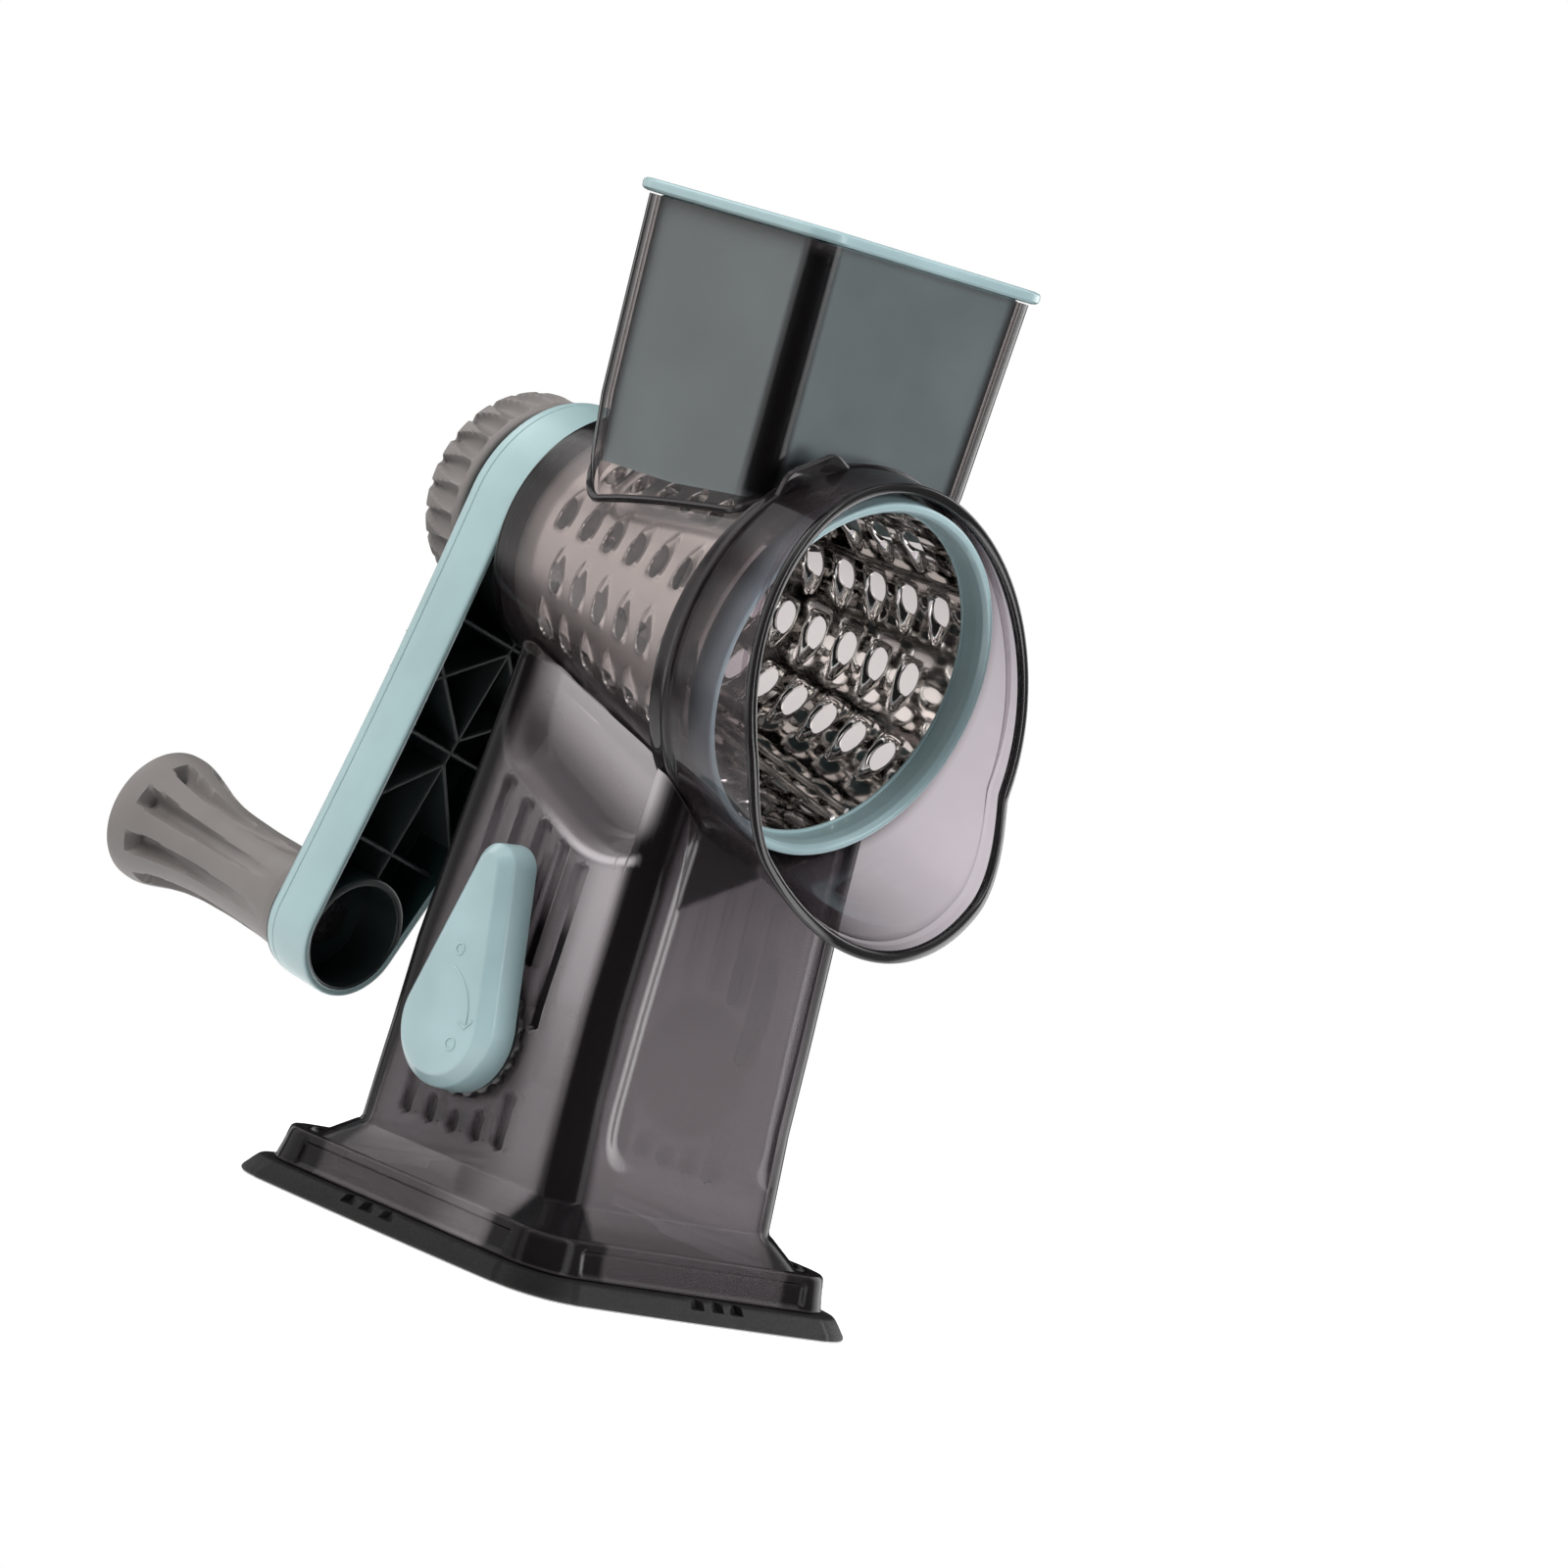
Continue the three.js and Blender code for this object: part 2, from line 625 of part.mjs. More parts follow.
function drumHole(column, row) {
  const along = -34.3 + DRUM_HOLE_PITCH * row + (column % 2) * DRUM_HOLE_PITCH / 2;
  const outline = [[2.2, 0], [0, 3.8], [-2.2, 0], [0, -3.8]].map(([y, z]) => {
    return new THREE.Vector2(y + along, z);
  });
  const fromBottom = DRUM_FIRST_COLUMN + column * 2 * Math.PI / (DRUM_COLUMNS + 1);
  const turn = new THREE.Matrix4().makeRotationY(Math.PI / 2 - fromBottom);
  return loft([60, 20].map((x) => outline.map((p) => new THREE.Vector3(x, p.x, p.y))), turn);
}

function buildDrumShell() {
  const holes = [];
  for (let column = 0; column < DRUM_COLUMNS; column++) {
    for (let row = 0; row < DRUM_ROWS; row++) {
      holes.push(drumHole(column, row));
    }
  }
  const outer = coneAboutAxis(drumRadius, DRUM_BACK, DRUM_FRONT, 0);
  const inner = coneAboutAxis(drumRadius, DRUM_BACK + 1, DRUM_FRONT - 1, -DRUM_SHEET);
  return outer.subtract(inner).subtract(union(holes));
}

function buildDrumRim() {
  const back = DRUM_FRONT - GAP;
  const inner = DRUM_FRONT_RADIUS - 1.2;
  const profile = [
    [inner, back], [RIM_RADIUS - 1.4, back], [RIM_RADIUS, back - 1.6], [RIM_RADIUS, RIM_FACE + 1.8],
    [RIM_RADIUS - 1.8, RIM_FACE], [inner + 2.4, RIM_FACE], [inner, RIM_FACE + 2.6],
  ];
  return turned(profile);
}

function rivetPlaces() {
  return [0, 1, 2, 3].map((index) => {
    const angle = (index + 0.5) * Math.PI / 2;
    return [22.4 * Math.cos(angle), 22.4 * Math.sin(angle)];
  });
}

function buildDrumBackPlate() {
  let plate = discY(DRUM_BACK_RADIUS - DRUM_SHEET - GAP, 52.6, 53.9, ROUND);
  for (const [x, z] of rivetPlaces()) {
    plate = plate.subtract(discY(2.1, 50, 56, 8, x, z));
  }
  return plate;
}

function buildDrumRivet([x, z]) {
  return discY(3.2, 51.2, 52.3, 8, x, z).add(discY(1.75, 52, 55.8, 8, x, z));
}

function buildDrumHub() {
  const flange = discY(HUB_FLANGE_RADIUS, 54.2, 56.1, ROUND);
  const journal = discY(JOURNAL_RADIUS, 56, 60.2, ROUND);
  const teeth = toothed(SPLINE_TEETH, SPLINE_RADIUS, SPLINE_DEPTH);
  const spline = stackedY([60, ARM_FLOOR - GAP].map((along) => [along, teeth]));
  let hub = union([flange, journal, spline]).subtract(discY(4.8, 59, 80));
  for (const [x, z] of rivetPlaces()) {
    hub = hub.subtract(discY(2.1, 50, 57, 8, x, z));
  }
  return hub;
}

// Crank arm, its lock knob and the turning grip

function armOutline(inset) {
  return twoCircleOutline(ARM_HEAD_RADIUS, ARM_TIP, ARM_TIP_RADIUS, inset, 1.2);
}

function armRibs() {
  const depthRange = [ARM_FRONT + 2.5, ARM_BACK - 1];
  const slant = Math.atan2(ARM_TIP.x, -ARM_TIP.y);
  const frame = new THREE.Matrix4().makeRotationY(slant);
  const ribs = [block([-0.7, depthRange[0], -118], [0.7, depthRange[1], -18], frame)];
  for (const height of [-44, -68, -92]) {
    ribs.push(block([-30, depthRange[0], height - 0.7], [30, depthRange[1], height + 0.7], frame));
  }
  for (const turn of [0, 1, 2, 3, 4]) {
    const spoke = new THREE.Matrix4().makeRotationY(slant + (turn - 2) * Math.PI / 3);
    ribs.push(block([-0.7, depthRange[0], 19], [0.7, depthRange[1], 35], spoke));
  }
  return union(ribs);
}

function buildCrankArm() {
  const floor = ARM_FLOOR;
  const outer = stackedY([
    [ARM_FRONT, armOutline(0.6)],
    [ARM_FRONT + 1.2, armOutline(0)],
    [ARM_BACK - 4, armOutline(0.2)],
    [ARM_BACK - 1.2, armOutline(1)],
    [ARM_BACK, armOutline(2.6)],
  ]);
  const cavity = stackedY([[ARM_FRONT - 5, armOutline(WALL)], [floor, armOutline(WALL + 0.3)]]);
  const socket = discY(21.5, ARM_FRONT + 0.6, ARM_BACK - 1, ROUND);
  const tipTube = discY(ARM_TIP_RADIUS - 0.6, ARM_FRONT + 0.4, ARM_BACK - 1, ROUND, ARM_TIP.x, ARM_TIP.y);
  const ribs = armRibs().intersect(stackedY([[ARM_FRONT, armOutline(1)], [ARM_BACK, armOutline(1)]]));
  const collar = discY(15.6, ARM_BACK - 1, ARM_BACK + 0.6, ROUND, ARM_TIP.x, ARM_TIP.y);
  const splineHole = stackedY([50, floor].map((along) => {
    return [along, toothed(SPLINE_TEETH, SPLINE_RADIUS + GAP, SPLINE_DEPTH)];
  }));
  const openings = [
    splineHole,
    discY(15.1, 50, floor, ROUND, ARM_TIP.x, ARM_TIP.y),
    discY(4.8, 50, ARM_BACK + 5),
    discY(4.8, 50, ARM_BACK + 5, SMALL_ROUND, ARM_TIP.x, ARM_TIP.y),
  ];
  return union([outer.subtract(cavity), socket, tipTube, ribs, collar]).subtract(union(openings));
}

function buildKnob() {
  const scallops = (radius, depth) => toothed(KNOB_SCALLOPS, radius, depth);
  const body = stackedY([
    [KNOB_FRONT, scallops(KNOB_RADIUS - 1, 0)],
    [KNOB_FRONT + 2.4, scallops(KNOB_RADIUS, 0)],
    [KNOB_FRONT + 4, scallops(KNOB_RADIUS, 1.8)],
    [KNOB_FRONT + 14, scallops(KNOB_RADIUS - 1, 1)],
    [KNOB_FRONT + 17.6, scallops(KNOB_RADIUS - 4, 0)],
    [KNOB_FRONT + 20.2, scallops(KNOB_RADIUS - 12, 0)],
  ]);
  return body.subtract(discY(4.8, 70, KNOB_FRONT + 9)).subtract(discY(10, 70, KNOB_FRONT + 1.2));
}

function buildKnobStud() {
  return discY(4.4, 61, KNOB_FRONT + 8.6);
}

function buildKnobWasher() {
  const [from, to] = [ARM_BACK + GAP, KNOB_FRONT + 0.8];
  return turned([[4.8, from], [9.6, from], [9.6, to], [4.8, to]], SMALL_ROUND);
}

function buildGrip() {
  const flutes = 8;
  const ring = (radius, depth) => Array.from({ length: flutes * 4 }, (_, index) => {
    const reach = radius - (index % 4 === 0 ? depth : 0);
    const angle = 2 * Math.PI * index / (flutes * 4);
    return new THREE.Vector2(reach * Math.cos(angle), reach * Math.sin(angle)).add(ARM_TIP);
  });
  const body = stackedY([
    [GRIP_START, ring(14.6, 0)],
    [GRIP_START + 12, ring(13.8, 0.2)],
    [GRIP_START + 31, ring(13.8, 1)],
    [GRIP_START + 47, ring(14.9, 1.8)],
    [GRIP_START + 57, ring(17.3, 2.2)],
    [GRIP_START + 62, ring(18.7, 0.5)],
    [GRIP_END - 2.4, ring(19.8, 0)],
    [GRIP_END, ring(20, 0)],
  ]);
  const bore = discY(4.9, GRIP_START - 5, GRIP_END + 5, SMALL_ROUND, ARM_TIP.x, ARM_TIP.y);
  const nutPocket = discY(10, GRIP_END - NUT_DEPTH, GRIP_END + 5, SMALL_ROUND, ARM_TIP.x, ARM_TIP.y);
  return body.subtract(bore).subtract(nutPocket);
}

function buildGripCap() {
  const profile = [
    [0, GRIP_END - 6], [9.6, GRIP_END - 6], [9.6, GRIP_END + GAP], [19.7, GRIP_END + GAP],
    [19.2, GRIP_END + 1.4], [15, GRIP_END + 2.6], [0, GRIP_END + 3.4],
  ];
  return turned(profile, ROUND, new THREE.Matrix4().makeTranslation(ARM_TIP.x, 0, ARM_TIP.y));
}

function buildGripAxle() {
  const floor = ARM_FLOOR - GAP;
  return discY(7.4, floor - 3.6, floor, 6, ARM_TIP.x, ARM_TIP.y)
    .add(discY(4.4, floor - 1, GRIP_END - 8, SMALL_ROUND, ARM_TIP.x, ARM_TIP.y));
}

function buildGripWasher() {
  const [from, to] = [ARM_BACK + 0.6 + GAP, GRIP_START - 0.1];
  const profile = [[4.9, from], [11, from], [11, to], [4.9, to]];
  return turned(profile, SMALL_ROUND, new THREE.Matrix4().makeTranslation(ARM_TIP.x, 0, ARM_TIP.y));
}

function buildAxleNut() {
  const floor = GRIP_END - NUT_DEPTH;
  return discY(8, floor + GAP, floor + 4.4, 6, ARM_TIP.x, ARM_TIP.y)
    .subtract(discY(4.8, floor - 2, floor + 8, SMALL_ROUND, ARM_TIP.x, ARM_TIP.y));
}

head.add(
  piece('housing', smokyPlastic, buildHousing()),
  piece('mouth_shield', smokyPlastic, buildMouthShield()),
  piece('drum_shell', chromeSteel, buildDrumShell()),
  piece('drum_rim', tealPlastic, buildDrumRim()),
  piece('drum_back_plate', chromeSteel, buildDrumBackPlate()),
  ...rivetPlaces().map((place, index) => {
    return piece(`drum_rivet_${index + 1}`, hardwareSteel, buildDrumRivet(place));
  }),
  piece('drum_hub', tealPlastic, buildDrumHub()),
  piece('crank_arm', tealPlastic, buildCrankArm()),
  piece('crank_knob', greyPlastic, buildKnob()),
  piece('knob_stud', hardwareSteel, buildKnobStud()),
  piece('knob_washer', hardwareSteel, buildKnobWasher()),
  piece('grip', greyPlastic, buildGrip()),
  piece('grip_cap', greyPlastic, buildGripCap()),
  piece('grip_axle', hardwareSteel, buildGripAxle()),
  piece('grip_washer', hardwareSteel, buildGripWasher()),
  piece('grip_axle_nut', hardwareSteel, buildAxleNut()),
);

const grater = new THREE.Group();
grater.add(
  head,
  piece('stand', smokyPlastic, buildStand()),
  piece('suction_pad', blackRubber, buildSuctionPad()),
  piece('plunger', innerPlastic, buildPlunger()),
  piece('base_plate', innerPlastic, buildBasePlate()),
  ...SCREW_PLACES.map((place, index) => {
    return piece(`base_screw_${index + 1}`, hardwareSteel, buildBaseScrew(place));
  }),
  piece('suction_stem', innerPlastic, buildStem()),
  piece('shaft_bracket', innerPlastic, buildShaftBracket()),
  piece('cam_shaft', hardwareSteel, buildCamShaft()),
  piece('shaft_clip', hardwareSteel, buildShaftClip()),
  piece('detent_ring', innerPlastic, buildDetentRing()),
  piece('suction_lever', tealPlastic, buildLever()),
  piece('pusher', tealPlastic, buildPusher()),
);

export default grater;
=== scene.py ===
"""Looks of the rotary cheese grater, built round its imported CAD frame.

Lengths below are millimetres and are turned into metres when a piece is made. Pieces on the drum's
axis are modelled in head coordinates (x, along, height): along runs down the axis towards the crank,
and the HEAD matrix tilts and lifts them into place. Everything else is in the frame's own x, y, z.
"""

import math

import bmesh
import bpy
import numpy as np
from mathutils import Matrix, Vector


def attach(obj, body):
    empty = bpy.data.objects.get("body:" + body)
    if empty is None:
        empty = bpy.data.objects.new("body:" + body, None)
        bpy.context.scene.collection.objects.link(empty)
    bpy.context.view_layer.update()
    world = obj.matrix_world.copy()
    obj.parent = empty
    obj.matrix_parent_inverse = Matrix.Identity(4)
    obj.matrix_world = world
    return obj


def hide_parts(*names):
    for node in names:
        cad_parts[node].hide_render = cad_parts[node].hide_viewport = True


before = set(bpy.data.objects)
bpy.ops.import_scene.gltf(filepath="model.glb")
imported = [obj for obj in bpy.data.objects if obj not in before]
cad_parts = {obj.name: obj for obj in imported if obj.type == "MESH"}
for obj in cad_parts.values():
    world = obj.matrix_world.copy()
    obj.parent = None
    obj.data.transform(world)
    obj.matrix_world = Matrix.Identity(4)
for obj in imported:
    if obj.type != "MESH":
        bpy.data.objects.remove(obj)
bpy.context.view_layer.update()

MM = 0.001
HEAD_HEIGHT = 183.6
HEAD_PITCH = math.radians(7.42)
HEAD = Matrix.Translation((0, 0, HEAD_HEIGHT)) @ Matrix.Rotation(HEAD_PITCH, 4, "X")
TURN = 2 * math.pi
SEGMENTS = 144
LEAST_RADIUS = 2.0

BARREL_BACK, BARREL_BACK_RADIUS = 58.6, 37.2
BARREL_FRONT, BARREL_FRONT_RADIUS = -40.0, 52.8
DRUM_BACK, DRUM_BACK_RADIUS = 54.2, 32.6
DRUM_FRONT, DRUM_FRONT_RADIUS = -42.2, 47.4
WALL = 2.2
STAND_WALL = 2.8
SHIELD_BACK, SHIELD_RADIUS = -31.0, 55.4
ARM_FRONT, ARM_FLOOR, ARM_BACK = 60.6, 77.2, 79.6
ARM_HEAD_RADIUS, ARM_TIP_RADIUS = 34.0, 18.0
ARM_TIP = np.array([-28.3, -126.5])
GRIP_START, GRIP_END = 81.4, 150.6
KNOB_FRONT, KNOB_RADIUS = 82.2, 31.0
LEVER_Y, LEVER_HEIGHT = 5.5, 57.5
LEVER_BACK, LEVER_FACE = -46.9, -58.9


# ---------------------------------------------------------------- numbers

def smooth(value, low, high):
    """0 below low, 1 above high, with a soft step between them."""
    share = np.clip((value - low) / (high - low), 0, 1)
    return share * share * (3 - 2 * share)


def cone(along, back, back_radius, front, front_radius):
    return back_radius + (back - along) / (back - front) * (front_radius - back_radius)


def barrel_radius(along):
    return cone(along, BARREL_BACK, BARREL_BACK_RADIUS, BARREL_FRONT, BARREL_FRONT_RADIUS)


def drum_radius(along):
    return cone(along, DRUM_BACK, DRUM_BACK_RADIUS, DRUM_FRONT, DRUM_FRONT_RADIUS)


def fillet(points, radius, steps=5, closed=True):
    """The polyline with its corners rounded off; radius is one number or one for each corner."""
    points = [np.array(p, float) for p in points]
    radii = radius if hasattr(radius, "__len__") else [radius] * len(points)
    out = []
    for i, corner in enumerate(points):
        if not closed and i in (0, len(points) - 1):
            out.append(corner)
            continue
        before, after = points[i - 1], points[(i + 1) % len(points)]
        start = corner + (before - corner) * min(0.48, radii[i] / np.linalg.norm(before - corner))
        end = corner + (after - corner) * min(0.48, radii[i] / np.linalg.norm(after - corner))
        for step in range(steps + 1):
            t = step / steps
            out.append((1 - t) ** 2 * start + 2 * t * (1 - t) * corner + t * t * end)
    return np.array(out)


def depth_inside(u, v, polygon):
    """Distance of the points (u, v) from the polygon's edge, positive inside it."""
    nearest = np.full(u.shape, 1e9)
    crossings = np.zeros(u.shape, int)
    for (au, av), (bu, bv) in zip(polygon, np.roll(polygon, -1, axis=0)):
        eu, ev = bu - au, bv - av
        t = np.clip(((u - au) * eu + (v - av) * ev) / (eu * eu + ev * ev + 1e-12), 0, 1)
        nearest = np.minimum(nearest, np.hypot(u - au - t * eu, v - av - t * ev))
        spans = (av > v) != (bv > v)
        crossings += spans & (u < au + eu * (v - av) / (ev if abs(ev) > 1e-9 else 1e-9))
    return np.where(crossings % 2 == 1, nearest, -nearest)


# ---------------------------------------------------------------- meshes

def grid(points, wrap_rows=False, wrap_columns=True):
    """Quads over an array of points of shape (rows, columns, 3)."""
    rows, columns = points.shape[:2]
    r = np.arange(rows if wrap_rows else rows - 1)[:, None]
    c = np.arange(columns if wrap_columns else columns - 1)[None, :]
    r2, c2 = (r + 1) % rows, (c + 1) % columns
    quads = np.stack([r * columns + c, r * columns + c2, r2 * columns + c2, r2 * columns + c], -1)
    return points.reshape(-1, 3), quads.reshape(-1, 4).tolist()


def loft(rings):
    """Joins closed rings (rows, columns, 3) and closes each end with a fan round its middle."""
    rings = np.asarray(rings, float)
    rows, columns = rings.shape[:2]
    verts, faces = grid(rings)
    verts = np.vstack([verts, rings[0].mean(0), rings[-1].mean(0)])
    last = (rows - 1) * columns
    for c in range(columns):
        after = (c + 1) % columns
        faces.append([rows * columns, after, c])
        faces.append([rows * columns + 1, last + c, last + after])
    return outward(verts, faces)


def closed_loop(rings):
    """Joins closed rings whose last ring meets the first."""
    return outward(*grid(np.array(rings), wrap_rows=True))


def outward(verts, faces):
    """Turns a closed part's faces over when they point inwards."""
    volume = 0.0
    for size in (3, 4):
        some = np.array([f for f in faces if len(f) == size])
        for k in range(1, size - 1):
            if len(some):
                a, b, c = verts[some[:, 0]], verts[some[:, k]], verts[some[:, k + 1]]
                volume += np.einsum("ij,ij->", a, np.cross(b, c))
    return verts, [f[::-1] for f in faces] if volume < 0 else faces


def polar(radius, angle):
    return np.stack([radius * np.cos(angle), radius * np.sin(angle)], -1)


def angles(count):
    """Evenly spaced angles of one full turn."""
    return np.arange(count) * TURN / count


def circle(radius, count=SEGMENTS):
    return polar(radius, angles(count))


def stack(axis, levels):
    """Rings from outlines: each level is (distance along the axis, outline of 2-D points)."""
    return np.array([np.insert(np.asarray(outline, float), "xyz".index(axis), distance, axis=1)
                     for distance, outline in levels])


def turned(profile, middle, segments):
    return stack("y", [(y, np.array(middle) + circle(r, segments)) for r, y in profile])


def lathe(profile, middle=(0, 0), segments=SEGMENTS):
    """Turns a closed profile of (radius, along) points about the head's axis."""
    return closed_loop(turned(profile, middle, segments))


def spindle(profile, middle=(0, 0), segments=SEGMENTS):
    """Turns an open profile that ends at the axis on both sides."""
    return loft(turned(profile, middle, segments))


def sweep(path, radius, count=10):
    """A round rod along an open path of 3-D points, with closed ends."""
    path = np.asarray(path, float)
    forward = np.gradient(path, axis=0)
    forward /= np.linalg.norm(forward, axis=1)[:, None]
    hint = np.array([0.31, 0.17, 0.93])
    side = np.cross(forward, hint)
    side /= np.linalg.norm(side, axis=1)[:, None]
    up = np.cross(side, forward)
    ring = circle(1.0, count)
    radii = np.broadcast_to(np.asarray(radius, float), (len(path),))
    rows = [p + r * (ring[:, :1] * s + ring[:, 1:] * u) for p, r, s, u in zip(path, radii, side, up)]
    return loft(np.array(rows))


def make(name, parts, material, body, replaces=(), head=False, sharp=32):
    """One piece from parts of (points in mm, faces), riding on a body."""
    mesh = joined(name, parts)
    mesh.transform(Matrix.Scale(MM, 4) @ HEAD if head else Matrix.Scale(MM, 4))
    return finish_mesh(name, mesh, material, body, replaces, sharp)


def merged(parts):
    """One (points, faces) from several."""
    verts, faces = [], []
    for part_verts, part_faces in parts:
        faces += [[i + len(verts) for i in f] for f in part_faces]
        verts += np.asarray(part_verts, float).tolist()
    return verts, faces


def joined(name, parts):
    """One mesh, in mm, from several (points, faces)."""
    verts, faces = merged(parts)
    mesh = bpy.data.meshes.new(name)
    mesh.from_pydata(verts, [], faces)
    return mesh


def placed(name, data):
    """A new object in the scene."""
    obj = bpy.data.objects.new(name, data)
    bpy.context.scene.collection.objects.link(obj)
    return obj


def finish_mesh(name, mesh, material, body, replaces, sharp):
    mesh.validate()
    mesh.shade_smooth()
    mesh.set_sharp_from_angle(angle=math.radians(sharp))
    paint(mesh, material)
    piece = placed(name, mesh)
    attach(piece, body)
    if replaces:
        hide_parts(*replaces)
    return piece


def paint(mesh, material):
    mesh.materials.clear()
    mesh.materials.append(material)


def write_attribute(mesh, name, domain, values):
    mesh.attributes.new(name, "FLOAT", domain).data.foreach_set("value", values.astype(np.float32))


def carve(base, steps):
    """The mesh of base after a row of boolean steps ("UNION" or "DIFFERENCE", part), all in mm."""
    obj = placed("carve_base", joined("carve_base", [base]))
    used = [obj]
    for operation, part in steps:
        tool = placed("carve_tool", joined("carve_tool", [part]))
        used.append(tool)
        modifier = obj.modifiers.new("step", "BOOLEAN")
        modifier.operation = operation
        modifier.solver = "MANIFOLD"
        modifier.object = tool
    bpy.context.view_layer.update()
    evaluated = obj.evaluated_get(bpy.context.evaluated_depsgraph_get())
    mesh = bpy.data.meshes.new_from_object(evaluated)
    for o in used:
        bpy.data.objects.remove(o)
    mesh.transform(Matrix.Scale(MM, 4))
    return mesh


# ---------------------------------------------------------------- materials

class Nodes:
    """A small helper for wiring up a node tree."""

    def __init__(self, tree):
        self.tree = tree

    def plug(self, socket, value):
        """Links a value that varies to the socket, and sets one that is uniform on it."""
        if isinstance(value, bpy.types.NodeSocket):
            self.tree.links.new(value, socket)
        else:
            socket.default_value = value

    def add(self, kind, inputs=None, **settings):
        node = self.tree.nodes.new(kind)
        for key, value in settings.items():
            setattr(node, key, value)
        for key, value in (inputs or {}).items():
            self.plug(node.inputs[key], value)
        return node

    def remap(self, value, low, high, to_low=0.0, to_high=1.0, kind="LINEAR"):
        inputs = {0: value, 1: low, 2: high, 3: to_low, 4: to_high}
        return self.add("ShaderNodeMapRange", inputs, interpolation_type=kind).outputs[0]

    def soft_remap(self, value, low, high, to_low=0.0, to_high=1.0):
        return self.remap(value, low, high, to_low, to_high, "SMOOTHSTEP")

    def math(self, operation, a, b=0.0, clamp=False):
        return self.add("ShaderNodeMath", {0: a, 1: b}, operation=operation, use_clamp=clamp).outputs[0]

    def times(self, a, b):
        return self.math("MULTIPLY", a, b)

    def split(self, vector):
        return self.add("ShaderNodeSeparateXYZ", {0: vector}).outputs

    def unit(self, vector):
        return self.add("ShaderNodeVectorMath", {0: vector}, operation="NORMALIZE").outputs[0]

    def dot(self, a, b):
        return self.add("ShaderNodeVectorMath", {0: a, 1: b}, operation="DOT_PRODUCT").outputs["Value"]

    def mix(self, factor, a, b):
        return self.add("ShaderNodeMixShader", {0: factor, 1: a.outputs[0], 2: b.outputs[0]})


class Material(Nodes):
    """The node tree of a new material, with its Principled BSDF."""

    def __init__(self, name):
        self.material = bpy.data.materials.new(name)
        self.material.use_nodes = True
        super().__init__(self.material.node_tree)
        self.output = self.tree.nodes["Material Output"]
        self.principled = self.tree.nodes["Principled BSDF"]
        self.place = self.add("ShaderNodeTexCoord").outputs["Object"]

    def noise(self, scale, detail=3.0, roughness=0.5):
        inputs = {"Vector": self.place, "Scale": scale, "Detail": detail, "Roughness": roughness}
        return self.add("ShaderNodeTexNoise", inputs).outputs["Fac"]

    def blend(self, factor, a, b):
        node = self.add("ShaderNodeMix", {0: factor, 6: a, 7: b}, data_type="RGBA")
        return node.outputs[2]

    def bump(self, height, strength, distance):
        inputs = {"Height": height, "Strength": strength, "Distance": distance}
        return self.add("ShaderNodeBump", inputs).outputs["Normal"]

    def geometry(self, name):
        return self.add("ShaderNodeNewGeometry").outputs[name]

    def attribute(self, name):
        return self.add("ShaderNodeAttribute", attribute_name=name).outputs["Fac"]

    def hollow_shade(self):
        """Where painted shade goes: 1 in concave corners, 0 elsewhere."""
        return self.remap(self.geometry("Pointiness"), 0.485, 0.41)

    def edge_wear(self, amount):
        """Up to the amount on convex edges, 0 elsewhere."""
        return self.times(self.remap(self.geometry("Pointiness"), 0.52, 0.6), amount)

    def set(self, **sockets):
        for key, value in sockets.items():
            self.plug(self.principled.inputs[key.replace("_", " ")], value)

    def show(self, factor, a, b):
        """Makes the mix of two shaders the surface."""
        self.tree.links.new(self.mix(factor, a, b).outputs[0], self.output.inputs["Surface"])
        return self.material


def scaled(color, factor, lift=0.0):
    return tuple(min(1.0, c * factor + lift) for c in color[:3]) + (1.0,)


def srgb(red, green, blue):
    def linear(c):
        c = c / 255
        return c / 12.92 if c <= 0.04045 else ((c + 0.055) / 1.055) ** 2.4

    return linear(red), linear(green), linear(blue), 1.0


def moulded(name, color, roughness, grain=0.02, worn=0.35, coat=0.0):
    """Opaque moulded plastic with a fine satin grain, faint flow marks, paler edges and painted shade in
    concave corners.
    """
    n = Material(name)
    flow = n.noise(22.0, 3.0, 0.6)
    fine = n.noise(2600.0, 2.0, 0.6)
    shade = n.blend(n.remap(flow, 0.35, 0.65), scaled(color, 0.93), scaled(color, 1.10, 0.006))
    shade = n.blend(n.edge_wear(worn), shade, scaled(color, 1.35, 0.02))
    # Painted shade: concave corners are darkened towards a quarter of the colour.
    shade = n.blend(n.times(n.hollow_shade(), 0.75), shade, scaled(color, 0.25))
    rough = n.math("ADD", n.remap(flow, 0.3, 0.7, roughness - 0.04, roughness + 0.05),
                   n.remap(fine, 0.3, 0.7, -0.03, 0.03), clamp=True)
    n.set(Base_Color=shade, Roughness=rough, Normal=n.bump(fine, grain, 0.0001))
    n.set(Specular_IOR_Level=0.5, Coat_Weight=coat, Coat_Roughness=0.12)
    return n.material


def rubber():
    n = Material("black_rubber")
    fine = n.noise(1500.0, 4.0, 0.7)
    dust = n.noise(60.0, 4.0, 0.65)
    shade = n.blend(n.remap(dust, 0.45, 0.8), srgb(9, 9, 9), srgb(17, 16, 16))
    shade = n.blend(n.edge_wear(0.5), shade, srgb(44, 42, 41))
    n.set(Base_Color=shade, Roughness=n.remap(fine, 0.3, 0.7, 0.5, 0.72))
    n.set(Normal=n.bump(fine, 0.15, 0.0002), Specular_IOR_Level=0.25)
    return n.material


